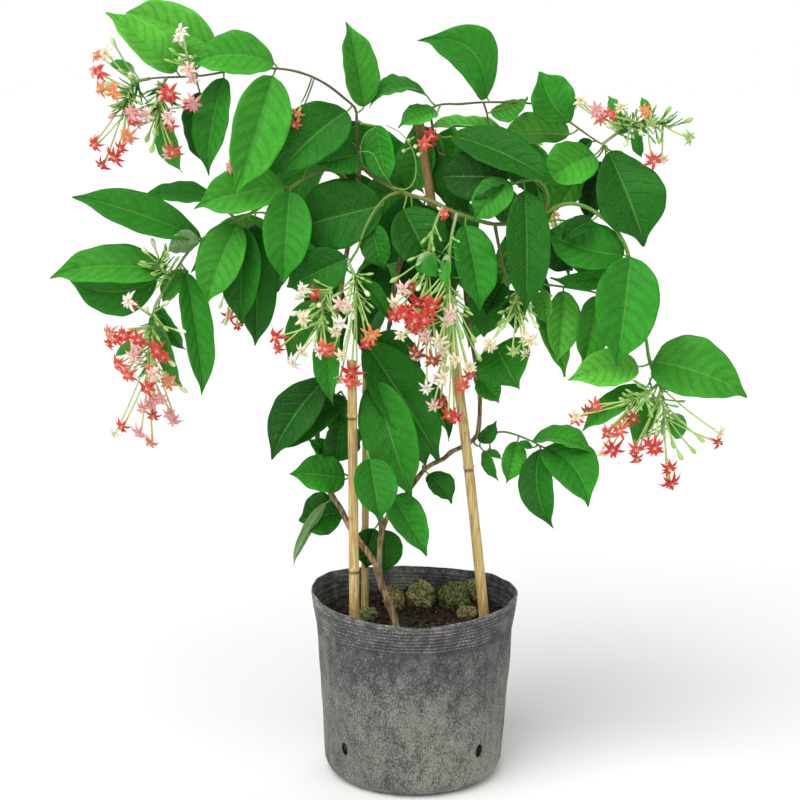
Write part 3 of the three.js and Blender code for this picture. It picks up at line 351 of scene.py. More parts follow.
@lru_cache(maxsize=None)
def unit_tube(sides: int, rings: int) -> UnitShape:
    """Models a round tube closed to a point at both ends, by rolling up a grid.

    Args:
        sides: faces round it.
        rings: rings along it from Z = 0 to 1, the points at the ends among them.

    Returns:
        The tube, of radius one apart from its ends.
    """
    tube = new_grid(sides, rings - 1)
    x, y, _ = read(tube.data.vertices, "co", 3, float).T
    radius = np.where(np.abs(y) > 1 - 1e-5, 0, 1)
    rolled = np.column_stack([radius * np.cos(math.pi * x), radius * np.sin(math.pi * x), (y + 1) / 2])
    tube.data.vertices.foreach_set("co", rolled.ravel())
    bpy.ops.object.mode_set(mode="EDIT")
    bpy.ops.mesh.select_all(action="SELECT")
    bpy.ops.mesh.remove_doubles(threshold=1e-4)
    bpy.ops.mesh.normals_make_consistent(inside=False)
    bpy.ops.object.mode_set(mode="OBJECT")
    return UnitShape.taken_from(tube)


@lru_cache(maxsize=None)
def unit_ball(steps: int) -> UnitShape:
    """Models a round ball of radius one.

    Args:
        steps: how often its faces are split.

    Returns:
        The ball.
    """
    bpy.ops.object.select_all(action="DESELECT")
    bpy.ops.mesh.primitive_ico_sphere_add(subdivisions=steps, radius=1, calc_uvs=True)
    return UnitShape.taken_from(bpy.context.object)


def wrapped(line: Array, sides: int) -> tuple[UnitShape, Array, Array, Array, Array]:
    """Wraps a tube round a line, with a ring at each of its points and a closing point at each end.

    Args:
        line: the points of its axis.
        sides: faces round it.

    Returns:
        The tube's shape, each of its points' ring, row on the line and way out, and the line's directions.
    """
    shape = unit_tube(sides, len(line) + 2)
    across, other, along = frames_along(line)
    ring = np.rint(shape.points[:, 2] * (len(line) + 1)).astype(int)
    row = np.clip(ring - 1, 0, len(line) - 1)
    return shape, ring, row, across[row] * shape.points[:, :1] + other[row] * shape.points[:, 1:2], along


class Sheaf:
    """Gathers the laid copies of unit shapes into one mesh."""

    def __init__(self) -> None:
        """Starts with nothing laid."""
        self.rows: Lines = {name: [] for name in ("points", "corners", "sizes", "texture", "tones")}
        self.count = 0

    def lay(self, shape: UnitShape, points: Array, tone: Array) -> None:
        """Adds a copy of a shape with its own points.

        Args:
            shape: the shape whose faces are copied.
            points: the copy's points in millimetres.
            tone: one linear colour, or one for each point.
        """
        tones = np.ones((len(points), 4))
        tones[:, :3] = tone
        self.rows["points"].append(points)
        self.rows["corners"].append(shape.corners + self.count)
        self.rows["sizes"].append(shape.sizes)
        self.rows["texture"].append(shape.texture)
        self.rows["tones"].append(tones)
        self.count += len(points)

    def tube(self, line: Array, radii: Array, tone: Array, sides: int = 6) -> None:
        """Lays a round tube along a line, closed by a low dome at both ends.

        Args:
            line: the points of its axis.
            radii: its radius at each point.
            tone: one linear colour, or one for each point of the line.
            sides: faces round it.
        """
        shape, ring, row, out, along = wrapped(line, sides)
        centres = line[row]
        centres[ring == 0] -= along[0] * radii[0] * 0.5
        centres[ring == len(line) + 1] += along[-1] * radii[-1] * 0.5
        tones = tone[row] if np.ndim(tone) == 2 else tone
        self.lay(shape, centres + out * radii[row][:, None], tones)

    def bound(self, name: str, finish: Material, node: str) -> Piece:
        """Makes the one mesh piece and lets it stand for a CAD node.

        Args:
            name: the piece's name.
            finish: its material.
            node: the node that it replaces, and rides where that rode.

        Returns:
            The piece.
        """
        joined = {key: np.concatenate(rows) for key, rows in self.rows.items()}
        mesh = bpy.data.meshes.new(name)
        mesh.vertices.add(len(joined["points"]))
        mesh.vertices.foreach_set("co", (joined["points"] * MM).ravel())
        mesh.loops.add(len(joined["corners"]))
        mesh.loops.foreach_set("vertex_index", joined["corners"].astype(np.int32))
        starts = np.concatenate([[0], np.cumsum(joined["sizes"])[:-1]]).astype(np.int32)
        mesh.polygons.add(len(starts))
        mesh.polygons.foreach_set("loop_start", starts)
        mesh.polygons.foreach_set("use_smooth", np.ones(len(starts), bool))
        mesh.update(calc_edges=True)
        mesh.uv_layers.new(name="UVMap").data.foreach_set("uv", joined["texture"].ravel())
        mesh.color_attributes.new("tone", "FLOAT_COLOR", "POINT").data.foreach_set(
            "color", joined["tones"].ravel()
        )
        mesh.validate()
        return dressed(linked(name, mesh), finish, node)


def dressed(piece: Piece, finish: Material, node: str) -> Piece:
    """Gives a piece its material and lets it stand for a CAD node.

    Args:
        piece: the piece.
        finish: its material.
        node: the node that it replaces, and rides where that rode.

    Returns:
        The same piece.
    """
    piece.data.materials.clear()
    piece.data.materials.append(finish)
    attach(piece, "root")
    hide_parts(node)
    LOG.info("%s: %d faces", piece.name, len(piece.data.polygons))
    return piece


# Finishes

# Settings that several nodes share: a soft step between two values, colours instead of numbers, one
# colour laid over another, a product, and a product with a sum
SMOOTH = {"interpolation_type": "SMOOTHSTEP"}
COLOUR = {"data_type": "RGBA"}
TINTED = {"blend_type": "MULTIPLY", **COLOUR}
TIMES = {"operation": "MULTIPLY"}
TIMES_PLUS = {"operation": "MULTIPLY_ADD"}


class Bench:
    """A new material's nodes, with the piece's own places and painted tones at hand."""

    def __init__(self, name: str) -> None:
        """Starts a material with an empty tree.

        Args:
            name: the material's name.
        """
        self.material = bpy.data.materials.new(name)
        self.material.use_nodes = True
        self.tree = self.material.node_tree
        self.tree.nodes.clear()
        self.places = self.add("TexCoord", out="Object")
        self.tone = self.add("Attribute", out="Color", attribute_name="tone")

    def add(self, kind: str, *values: object, out: str = "", **named: object) -> Socket | None:
        """Adds a node with its settings, values and links.

        Args:
            kind: the node's type, without the first part that all share.
            values: a number, hex colour or linked socket for each open input in turn.
            out: the name of the output that is given back, or the first open one.
            named: the node's settings, and inputs by their names with _ for a space.

        Returns:
            The output.
        """
        node = self.tree.nodes.new(f"ShaderNode{kind}")
        settings = {name for name in named if hasattr(node, name)}
        for name in settings:
            setattr(node, name, named[name])
        filled = list(zip((socket for socket in node.inputs if socket.enabled), values))
        filled += [
            (node.inputs[name.replace("_", " ")], value)
            for name, value in named.items() if name not in settings
        ]
        for socket, value in filled:
            if isinstance(value, Socket):
                self.tree.links.new(value, socket)
            else:
                socket.default_value = (*linear(value), 1) if isinstance(value, str) else value
        return node.outputs[out] if out else next((socket for socket in node.outputs if socket.enabled), None)

    def finished(
        self, colour: object, roughness: object, height: Socket | None = None,
        depth_mm: float = 0.2, strength: float = 0.5, gloss: float = 0.5,
    ) -> Material:
        """Closes the tree with its shader.

        Args:
            colour: the surface colour.
            roughness: the surface roughness.
            height: fine relief from 0 to 1.
            depth_mm: how deep the relief is.
            strength: how strongly it shows.
            gloss: how much light the skin throws back.

        Returns:
            The material.
        """
        more = {}
        if height is not None:
            more["Normal"] = self.add("Bump", Height=height, Distance=depth_mm * MM, Strength=strength)
        self.add("OutputMaterial", self.add(
            "BsdfPrincipled", Base_Color=colour, Roughness=roughness, Specular_IOR_Level=gloss, **more
        ))
        return self.material


def shaded(bench: Bench, colour: Socket, value: Socket, depth: float) -> Socket:
    """Draws a colour lighter and darker by a pattern about 0.5.

    Args:
        bench: the material's nodes.
        colour: the colour.
        value: the pattern.
        depth: how much the colour changes at most.

    Returns:
        The changed colour.
    """
    factor = bench.add("Math", value, 2 * depth, 1 - depth, **TIMES_PLUS)
    return bench.add("HueSaturation", Value=factor, Color=colour)


def veiled(
    bench: Bench, colour: object, mask: Socket, share: float, veil: str
) -> Socket:
    """Lays a thin veil of another colour where a mask shows.

    Args:
        bench: the material's nodes.
        colour: the colour below.
        mask: where the veil lies, from 0 to 1.
        share: how much it covers at most.
        veil: its colour.

    Returns:
        The veiled colour.
    """
    cover = bench.add("Math", mask, share, **TIMES)
    return bench.add("Mix", cover, colour, veil, **COLOUR)


@dataclass(frozen=True)
class VeinPattern:
    """How the side veins run: their number and how they rise and curl towards the edge."""

    count: float = 8
    slope: float = 0.13
    curl: float = 0.10
    curl_power: float = 2.6


VEINS = VeinPattern()


def vein_masks(bench: Bench) -> tuple[Socket, ...]:
    """Draws a blade's veins from its texture places: 8 arching side veins a side and the midrib.

    Args:
        bench: the material's nodes.

    Returns:
        The side veins, the midrib and the creases about the side veins, each 1 on it and 0 off it. The
        creases carry painted shade as well as the sunk relief.
    """
    spot = bench.add("UVMap")
    across = bench.add("Math", bench.add("SeparateXYZ", spot, out="X"), 2, -1, **TIMES_PLUS)
    across = bench.add("Math", across, operation="ABSOLUTE")
    curl = bench.add("Math", across, VEINS.curl_power, operation="POWER")
    curl = bench.add("Math", curl, VEINS.curl, **TIMES)
    fall = bench.add("Math", across, VEINS.slope, curl, **TIMES_PLUS)
    level = bench.add("Math", bench.add("SeparateXYZ", spot, out="Y"), fall, operation="SUBTRACT")
    wobble = bench.add("Math", bench.add("TexNoise", bench.places, 1000 / 14, 3), 0.34, **TIMES)
    turn = bench.add("Math", level, VEINS.count, wobble, **TIMES_PLUS)
    off = bench.add("Math", turn, 0.5, operation="PINGPONG")
    fade = bench.add("MapRange", across, 1.0, 0.6, **SMOOTH)
    side = bench.add("Math", bench.add("MapRange", off, 0.06, 0.012, **SMOOTH), fade, **TIMES)
    shaded_crease = bench.add("Math", bench.add("MapRange", off, 0.3, 0.0, **SMOOTH), fade, **TIMES)
    return side, bench.add("MapRange", across, 0.04, 0.012, **SMOOTH), shaded_crease


@dataclass(frozen=True)
class LeafSurface:
    """A blade: satin green, with paler veins in a fine net, soft mottling and painted shade in the creases
    beside the side veins. Stems wear it too.
    """

    vein: str = "#8cc062"
    shaded_crease: str = "#123a0c"
    roughness: float = 0.44

    def material(self) -> Material:
        """Makes the surface of blades on both sides, petioles and green stems.

        Returns:
            The material.
        """
        bench = Bench("leaf_upper")
        # Growth leaves patches about 35 mm wide, and the light catches the cells between the veins
        colour = shaded(bench, bench.tone, bench.add("TexNoise", bench.places, 1000 / 32, 4), 0.3)
        colour = shaded(bench, colour, bench.add("TexNoise", bench.places, 1000 / 4, 4), 0.22)
        colour = shaded(bench, colour, bench.add("TexNoise", bench.places, 1000 / 1.6, 2), 0.16)
        cells = bench.add("TexVoronoi", bench.places, 1000 / 3.2, feature="DISTANCE_TO_EDGE")
        meshes = bench.add("MapRange", cells, 0.12, 0.0, **SMOOTH)
        side, midrib, shaded_crease = vein_masks(bench)
        # Painted shade: the creases beside the side veins are darkened as if shade lay in them
        colour = veiled(bench, colour, shaded_crease, 0.3, self.shaded_crease)
        colour = veiled(bench, colour, meshes, 0.08, self.vein)
        colour = veiled(bench, colour, side, 0.1, self.vein)
        colour = veiled(bench, colour, midrib, 0.24, self.vein)
        sunk = bench.add("Math", meshes, 0.45, **TIMES)
        lowest = bench.add("Math", sunk, shaded_crease, operation="MAXIMUM")
        height = bench.add("Math", 1.0, lowest, operation="SUBTRACT")
        worn = bench.add("TexNoise", bench.places, 1000 / 9, 3)
        rough = bench.add("Math", worn, 0.2, self.roughness - 0.1, **TIMES_PLUS)
        return bench.finished(colour, rough, height, 0.5, 0.7, 0.12)


@dataclass(frozen=True)
class Petal:
    """A petal: soft and matt, streaked from a paler throat to a full-coloured tip."""

    throat: str = "#f3e6cf"

    def material(self) -> Material:
        """Makes the surface of petals on both sides, and of a head's stalks, tubes, buds and bracts.

        Returns:
            The material.
        """
        bench = Bench("petal")
        # Colour is drawn out from the throat in fine streaks along the petal
        streaks = bench.add("TexNoise", bench.places, 1000 / 1.6, 2)
        colour = shaded(bench, bench.tone, streaks, 0.13)
        along = bench.add("SeparateXYZ", bench.add("UVMap"), out="Y")
        edge = bench.add("Math", streaks, 0.2, along, **TIMES_PLUS)
        colour = veiled(bench, colour, bench.add("MapRange", edge, 0.42, 0.05, **SMOOTH), 0.5, self.throat)
        return bench.finished(colour, 0.62, streaks, 0.08, 0.4, 0.3)


@dataclass(frozen=True)
class VineBark:
    """The old vine's bark: pale brown, split along the stem, with grey and green traces."""

    split: str = "#6b5439"
    skin: str = "#b89c72"
    weathered: str = "#8d8a72"
    algae: str = "#6f7a45"

    def material(self) -> Material:
        """Makes the bark.

        Returns:
            The material.
        """
        bench = Bench("vine_bark")
        # Long splits about 3 mm apart run up the stem, grey where the bark has weathered
        stretched = bench.add("Mapping", bench.places, Scale=(1, 1, 0.16))
        grain = bench.add("TexNoise", stretched, 1000 / 3.5, 5)
        whole = bench.add("MapRange", grain, 0.4, 0.62, **SMOOTH)
        colour = bench.add("Mix", whole, self.split, self.skin, **COLOUR)
        patches = bench.add("TexNoise", bench.places, 1000 / 28, 3)
        grey = bench.add("MapRange", patches, 0.52, 0.7, **SMOOTH)
        colour = veiled(bench, colour, grey, 1.0, self.weathered)
        traces = bench.add("TexNoise", bench.places, 1000 / 60, 3)
        colour = veiled(bench, colour, bench.add("MapRange", traces, 0.55, 0.7, **SMOOTH), 0.35, self.algae)
        return bench.finished(colour, 0.85, grain, 0.9, 0.8, 0.25)


@dataclass(frozen=True)
class BambooCulm:
    """Weathered bamboo: straw yellow with fine fibres, mottled grey-brown."""

    fibre: str = "#a98a4c"
    straw: str = "#d5bd80"
    worn: str = "#8c744a"
    spot: str = "#5d4a30"

    def material(self) -> Material:
        """Makes the bamboo's skin.

        Returns:
            The material.
        """
        bench = Bench("bamboo_culm")
        # The skin has fibres under a millimetre wide that run the whole length, and weather spots
        drawn = bench.add("Mapping", bench.places, Scale=(1, 1, 0.03))
        fibres = bench.add("TexNoise", drawn, 1000 / 1.3, 3)
        pale = bench.add("MapRange", fibres, 0.35, 0.65, **SMOOTH)
        colour = bench.add("Mix", pale, self.fibre, self.straw, **COLOUR)
        colour = bench.add("Mix", 1.0, colour, bench.tone, **TINTED)
        stretched = bench.add("Mapping", bench.places, Scale=(1, 1, 0.35))
        worn = bench.add("MapRange", bench.add("TexNoise", stretched, 1000 / 16, 4), 0.5, 0.66, **SMOOTH)
        colour = veiled(bench, colour, worn, 0.55, self.worn)
        spots = bench.add("MapRange", bench.add("TexNoise", bench.places, 1000 / 5, 2), 0.64, 0.74, **SMOOTH)
        colour = veiled(bench, colour, spots, 0.7, self.spot)
        return bench.finished(colour, 0.48, fibres, 0.2, 0.5, 0.4)


@dataclass(frozen=True)
class NurseryPlastic:
    """The bag's film, inside and out: grey-black under a crust of lime, algae and dust."""

    film: str = "#37393a"
    grit: str = "#8a8b86"
    algae: str = "#6b7560"
    plum: str = "#74696d"

    def material(self) -> Material:
        """Makes the weathered film of the bag.

        Returns:
            The material.
        """
        bench = Bench("nursery_plastic")
        # Lime and dust lie as grit 1 to 2 mm wide, thicker in patches, with algae and a plum bloom
        flat = bench.add("Mapping", bench.places, Scale=(1, 1, 0.7))
        grit = bench.add("TexNoise", flat, 1000 / 1.7, 6)
        patches = bench.add("TexNoise", flat, 1000 / 14, 5)
        clouds = bench.add("TexNoise", bench.places, 1000 / 70, 3)
        height = bench.add("SeparateXYZ", bench.places, out="Z")
        clean = bench.add("Math", bench.add("MapRange", height, 0.09, 0.19, **SMOOTH), -0.12, **TIMES)
        level = bench.add("Math", clouds, 0.35, bench.add("Math", grit, clean, operation="ADD"), **TIMES_PLUS)
        level = bench.add("Math", patches, 0.45, level, **TIMES_PLUS)
        crust = bench.add("MapRange", level, 0.68, 1.14, **SMOOTH)
        colour = bench.add("Mix", crust, self.film, self.grit, **COLOUR)
        thick = bench.add("MapRange", patches, 0.42, 0.6, **SMOOTH)
        green = bench.add("Math", bench.add("MapRange", clouds, 0.48, 0.62, **SMOOTH), thick, **TIMES)
        colour = veiled(bench, colour, green, 0.32, self.algae)
        plum = bench.add("Math", bench.add("MapRange", clouds, 0.5, 0.36, **SMOOTH), thick, **TIMES)
        colour = veiled(bench, colour, plum, 0.35, self.plum)
        colour = bench.add("Mix", 0.9, colour, bench.tone, **TINTED)
        rough = bench.add("Math", grit, 0.3, 0.5, **TIMES_PLUS)
        return bench.finished(colour, rough, grit, 0.6, 0.7, 0.35)


@dataclass(frozen=True)
class PottingSoil:
    """Damp potting soil: near black, with brown and pale fibres and crumbs."""

    peat: str = "#15100e"
    loam: str = "#3b2a22"
    chip: str = "#62533c"
    algae: str = "#3c4726"

    def material(self) -> Material:
        """Makes the soil.

        Returns:
            The material.
        """
        bench = Bench("potting_soil")
        # Crumbs 2 to 5 mm wide differ in colour, from wet peat to dry bark chips
        damp = bench.add("MapRange", bench.add("TexNoise", bench.places, 1000 / 4, 4), 0.4, 0.65, **SMOOTH)
        colour = bench.add("Mix", damp, self.peat, self.loam, **COLOUR)
        crumbs = bench.add("TexVoronoi", bench.places, 1000 / 3.1, out="Color")
        chips = bench.add("MapRange", bench.add("SeparateXYZ", crumbs, out="X"), 0.82, 0.9, **SMOOTH)
        colour = veiled(bench, colour, chips, 0.6, self.chip)
        traces = bench.add("MapRange", bench.add("TexNoise", bench.places, 1000 / 40, 3), 0.55, 0.7, **SMOOTH)
        colour = veiled(bench, colour, traces, 0.3, self.algae)
        return bench.finished(colour, 0.95, bench.add("TexNoise", bench.places, 1000 / 3, 5), 1.2, 0.9, 0.2)


@dataclass(frozen=True)
class MossyCrust:
    """A lump of porous growing medium under moss: olive above, brown and pitted below."""

    moss: tuple[str, str] = ("#3b4723", "#8b9562")
    earth: tuple[str, str] = ("#4f4536", "#b3a98c")
    pit_shade: str = "#1c1a12"

    def material(self) -> Material:
        """Makes the lumps' surface.

        Returns:
            The material.
        """
        bench = Bench("mossy_crust")
        # Moss grows in cushions a few millimetres wide, and the pits between them are painted dark as shade
        pits = bench.add("TexNoise", bench.places, 1000 / 4.5, 4)
        fuzz = bench.add("TexNoise", bench.places, 1000 / 2, 6)
        crest = bench.add("MapRange", fuzz, 0.35, 0.65, **SMOOTH)
        moss = bench.add("Mix", crest, *self.moss, **COLOUR)
        earth = bench.add("Mix", crest, *self.earth, **COLOUR)
        grown = bench.add("MapRange", bench.add("TexNoise", bench.places, 1000 / 12, 4), 0.42, 0.58, **SMOOTH)
        colour = bench.add("Mix", grown, earth, moss, **COLOUR)
        colour = veiled(bench, colour, bench.add("MapRange", pits, 0.42, 0.3, **SMOOTH), 1.0, self.pit_shade)
        colour = bench.add("Mix", 0.6, colour, bench.tone, **TINTED)
        relief = bench.add("Math", pits, fuzz, **TIMES)
        return bench.finished(colour, 0.95, relief, 2.0, 0.9, 0.2)


@dataclass(frozen=True)
class StudioPaper:
    """The pale paper that the plant stands on."""

    sheet: tuple[str, str] = ("#f6f6f4", "#fbfbfa")

    def material(self) -> Material:
        """Makes the floor's paper.

        Returns:
            The material.
        """
        bench = Bench("studio_paper")
        # Even and matt, with a hardly visible tooth
        tooth = bench.add("TexNoise", bench.places, 1000 / 300, 2)
        return bench.finished(bench.add("Mix", tooth, *self.sheet, **COLOUR), 0.9)


# Colours of leaves and flowers


class Tone(Enum):
    """The green of a leaf's upper side. Each leaf's step was set to how light or dark that leaf looks, so the
    steps hold painted light and shade as well as the leaf's own green.
    """

    FRESH = "#57b037"
    BRIGHT = "#3b9628"
    MID = "#27811d"
    DARK = "#186412"
    DEEP = "#0d4b0a"
    PALE = "#84a873"


class Hue(Enum):
    """The colour of a flower's petals or of a bud."""

    WHITE = "#f6efe8"
    CREAM = "#f2e7c6"
    GREENISH = "#dfe9bd"
    BLUSH = "#f8cdc6"
    PINK = "#f0a0a4"
    SALMON = "#ee8b78"
    ORANGE = "#ee8e58"
    CORAL = "#e8594b"
    RED = "#dc3b3d"
    CRIMSON = "#c52a38"
    RUST = "#a9472f"
    LEAFY = "#a9cf74"


# Leafy shoots


@dataclass(frozen=True)
class Leaf:
    """A leaf: the seen places of its blade's ends, its seen width, turn, arch, bend and widest place."""

    base: Seen
    tip: Seen
    width: float
    turn: float = 0.0
    tone: Tone = Tone.MID
    bow: float = 0.07
    bend: float = 0.0
    skew: float = 0.8
    eye: Seen = FRONT_EYE


class Blade:
    """A leaf's frame in space: its base, chord, upper side, left side, length and true width."""

    def __init__(self, leaf: Leaf) -> None:
        """Works out the frame.

        Args:
            leaf: the leaf as laid out.
        """
        self.leaf = leaf
        self.base, self.tip = place(leaf.base), place(leaf.tip)
        run = self.tip - self.base
        self.length = float(np.linalg.norm(run))
        self.chord = run / self.length
        middle = (self.base + self.tip) / 2
        facing = unit(np.array(leaf.eye) - middle)
        facing = unit(facing - self.chord * (facing @ self.chord))
        turn = math.radians(leaf.turn)
        self.up = facing * math.cos(turn) + np.cross(self.chord, facing) * math.sin(turn)
        self.side = np.cross(self.chord, self.up)
        reach = (middle[1] - FRONT_EYE[1]) / -FRONT_EYE[1]
        self.width = leaf.width * reach / abs(math.cos(turn))

    def outline(self, u: Array) -> Array:
        """Gives the blade's half width along it.

        Args:
            u: shares of the length from base to tip.

        Returns:
            The half width in millimetres.
        """
        oval = np.sin(np.pi * np.clip(u, 0, 1) ** self.leaf.skew) ** 0.65
        return self.width / 2 * 1.05 * oval * (1 - 0.45 * ease(0.72, 1, u))

    def spine(self, u: Array) -> Array:
        """Gives the places of the midrib.

        Args:
            u: shares of the length.

        Returns:
            A place for each share.
        """
        arch = (4 * u * (1 - u))[:, None] * self.length
        line = self.base + self.chord * (self.length * u)[:, None]
        return line + self.up * arch * self.leaf.bow + self.side * arch * self.leaf.bend

    def surface(self, shape: UnitShape, form: "BladeForm") -> Array:
        """Lays a unit sheet out as the blade.

        Args:
            shape: the unit sheet.
            form: the blade's relief.

        Returns:
            The blade's points.
        """
        v, u, level = shape.spots()
        a = np.abs(v)
        half = np.maximum(0.4, self.outline(u) * (1 - 0.3 * ease(0.8, 0.95, u)))
        phase = self.leaf.base[0]
        lift = form.fold * half * (a**1.15)
        lift += form.wave * self.width * np.sin(form.waves * u + phase) * v * ease(0, 0.1, u)
        edge = np.sin(form.ripples * u + phase * 1.7 + 2 * np.sign(v)) * a**3
        lift += form.ripple * self.width * edge * ease(0, 0.15, u)
        lift += form.twist * math.sin(phase * 3.1) * half * v * ease(0.25, 1, u)
        stripe = VEINS.count * (u - VEINS.slope * a - VEINS.curl * a**VEINS.curl_power)
        puff = np.abs(np.sin(np.pi * stripe)) ** 0.6
        lift += form.quilt * puff * ease(0, 0.2, a) * (1 - a**5) * np.minimum(1, half / form.full_quilt)
        lift -= form.groove * np.exp(-((a * half / form.groove_half) ** 2)) * ease(0, 0.1, u)
        lift -= form.curl * self.length * ease(0.8, 1.0, u) ** 2
        lift += np.sign(level) * form.thickness / 2
        return self.spine(u) + self.side * (v * half)[:, None] + self.up * lift[:, None]

    def petiole(self, lines: Sequence[Array], form: "BladeForm") -> tuple[Array, Array]:
        """Lays out the leaf's stalk from its stem to under the midrib.

        Args:
            lines: the stems that it may grow on.
            form: the blade's relief.

        Returns:
            The points of its line and its radius at each.
        """
        root = nearest_on(lines, self.base - self.chord * form.lead)
        gap = np.linalg.norm(self.base - root)
        start = np.array([
            root + (self.base - root) * t - np.array([0, 0, 0.1 * gap * math.sin(math.pi * t)])
            for t in (0.0, 0.3, 0.62, 0.9)
        ])
        u = np.linspace(0.03, 0.9, 8)
        radii = np.concatenate([[1.5, 1.15, 1.05, 1.05], np.linspace(0.95, 0.3, len(u))])
        under = form.groove * ease(0, 0.1, u) + form.curl * self.length * ease(0.8, 1, u) ** 2
        sunk = self.spine(u) - self.up * (under + 0.75 * radii[4:])[:, None]
        return np.vstack([start, sunk]), radii


@dataclass(frozen=True)
class BladeForm:
    """The relief of a blade: fold, waves, quilting between the veins, and the sunk midrib.

    The waves and ripples are turns in radians from base to tip. Quilting is full on blades over
    twice full_quilt wide, and a petiole leaves its stem as if the blade began a lead lower.
    """

    columns: int = 16
    rows: int = 34
    fold: float = 0.3
    wave: float = 0.035
    waves: float = 11
    ripple: float = 0.02
    ripples: float = 29
    twist: float = 0.14
    quilt: float = 1.8
    full_quilt: float = 14
    groove: float = 1.0
    groove_half: float = 1.4
    curl: float = 0.04
    thickness: float = 0.5
    lead: float = 5


@dataclass
class Tendril:
    """A loose loop of young green stem: its seen places and radius."""

    places: Sequence[Seen]
    radius: float = 0.8


@dataclass
class LeafyShoot:
    """A shoot: its stems' seen places, radii and colours, its leaves and its loose loops.

    Its main stem turns from the colour of its foot to that of its end over the greening's stretch.
    """

    name: str
    on: str
    stems: Sequence[Sequence[Seen]]
    leaves: Sequence[Leaf]
    radii: tuple[float, float] = (1.9, 1.2)
    foot: str = "#7b7a48"
    end: str = "#6fa047"
    greening: tuple[float, float] = (0.0, 0.6)
    tendrils: Sequence[Tendril] = ()
    form: BladeForm = field(default_factory=BladeForm)
    stem_step: float = 7.0
    petiole: str = "#7fa850"
    loop: str = "#86b356"

    def lines(self, grown: Lines) -> list[Array]:
        """Lays out the stems, the main one from its parent's line.

        Args:
            grown: the lines that each earlier piece grows along.

        Returns:
            The stems' lines.
        """
        stems = [placed(stem) for stem in self.stems]
        stems[0][0] = nearest_on(grown[self.on], stems[0][0])
        return [smooth_line(points, self.stem_step) for points in stems]

    def build(self, finish: Material, grown: Lines) -> Piece:
        """Builds the shoot as one piece.

        Args:
            finish: its material.
            grown: the lines that each piece grows along, added to here.

        Returns:
            The piece.
        """
        sheaf = Sheaf()
        lines = self.lines(grown)
        grown[self.name] = lines
        for index, line in enumerate(lines):
            self.lay_stem(sheaf, line, 0.8 if index else 1.0)
        for index, leaf in enumerate(self.leaves):
            self.lay_leaf(sheaf, leaf, lines, index)
        for tendril in self.tendrils:
            line = smooth_line(placed(tendril.places), 5)
            radii = np.linspace(tendril.radius, 0.5 * tendril.radius, len(line))
            sheaf.tube(line, radii, linear(self.loop), 5)
        return sheaf.bound(f"{self.name}_foliage", finish, self.name)

    def lay_stem(self, sheaf: Sheaf, line: Array, share: float) -> None:
        """Lays one stem with slight swellings and its change of colour.

        Args:
            sheaf: the mesh that it joins.
            line: its axis.
            share: its thickness next to the main stem's.
        """
        t = np.linspace(0, 1, len(line))
        radii = (self.radii[0] + (self.radii[1] - self.radii[0]) * t) * share
        radii *= 1 + 0.07 * np.sin(t * len(line) * 0.9) + 0.05 * np.sin(t * len(line) * 2.3)
        tones = blend(linear(self.foot), linear(self.end), ease(*self.greening, t)[:, None])
        sheaf.tube(line, radii, tones, 8)

    def lay_leaf(self, sheaf: Sheaf, leaf: Leaf, lines: Sequence[Array], index: int) -> None:
        """Lays one leaf with its petiole.

        Args:
            sheaf: the mesh that it joins.
            leaf: the leaf.
            lines: the stems that it may grow on.
            index: its number on the shoot, which varies its colour a little.
        """
        blade = Blade(leaf)
        shape = unit_sheet(self.form.columns, self.form.rows)
        vary = 1 + 0.12 * math.sin(2.1 * index + leaf.base[1])
        v, u, _ = shape.spots()
        shade = vary * (1 + 0.14 * ease(0.75, 1.0, np.abs(v)) - 0.08 * ease(0.5, 0.0, u))
        # Painted light and shade: one half of each blade is painted paler and the other darker, by how far
        # the blade's side points right and down, in place of the light and shade on its fold
        lit_half_lean = float(np.clip(1.4 * (blade.side @ np.array([0.93, 0.0, -0.37])), -1, 1))
        shade *= 1 + 0.16 * lit_half_lean * (2 * ease(-0.1, 0.1, v) - 1)
        sheaf.lay(shape, blade.surface(shape, self.form), linear(leaf.tone.value) * shade[:, None])
        line, radii = blade.petiole(lines, self.form)
        sheaf.tube(line, radii, linear(self.petiole), 5)


@dataclass
class FarShoot:
    """A shoot on the far side, whose leaves are set by turns on both sides of its stem by a rule."""

    name: str
    places: Sequence[Seen]
    count: int
    seed: int
    size: float
    first: float = 0.18
    last: float = 0.88
    stalk: float = 11
    slimness: float = 0.43
    tones: Sequence[Tone] = (Tone.MID, Tone.BRIGHT, Tone.DARK, Tone.MID)

    def shoot(self) -> LeafyShoot:
        """Sets the leaves, by turns on both sides.

        Returns:
            The shoot with its leaves.
        """
        draw = draws(self.seed)
        points = np.array([(x, y, z) for x, z, y in self.places], float)
        leaves = []
        for index in range(self.count):
            t = self.first + (self.last - self.first) * index / (self.count - 1)
            along = on_curve(points, t + 1e-4) - on_curve(points, t - 1e-4)
            along = unit(np.array([along[0], along[1], 0]))
            # How far each leaf leans aside, ahead and down, its length next to the shoot's, and its turn
            aside, ahead, down, long, turn = (
                low + (high - low) * draw()
                for low, high in ((0.3, 0.7), (-0.1, 0.65), (0.3, 1.05), (0.72, 1.14), (-25, 25))
            )
            way = np.array([along[1], -along[0], 0]) * (aside if index % 2 else -aside) + along * ahead
            way = unit(np.array([way[0], way[1], -down]))
            base = on_curve(points, t) + way * self.stalk
            tip = base + way * self.size * long
            leaves.append(Leaf(
                tuple(base[[0, 2, 1]]), tuple(tip[[0, 2, 1]]), self.slimness * self.size * long, turn,
                self.tones[(index + self.seed) % len(self.tones)], 0.09, eye=REAR_EYE,
            ))
        form = BladeForm(columns=14, rows=26)
        return LeafyShoot(self.name, "woody_vine", (self.places,), leaves, form=form)


# Flower sprays


@dataclass(frozen=True)
class Bloom:
    """An open flower: the seen place of its mouth, its colour, and its size next to the usual."""

    at: Seen
    hue: Hue = Hue.RED
    size: float = 1.0


@dataclass(frozen=True)
class Bud:
    """A closed flower: the seen place of its end, and its colour."""

    at: Seen
    hue: Hue = Hue.GREENISH


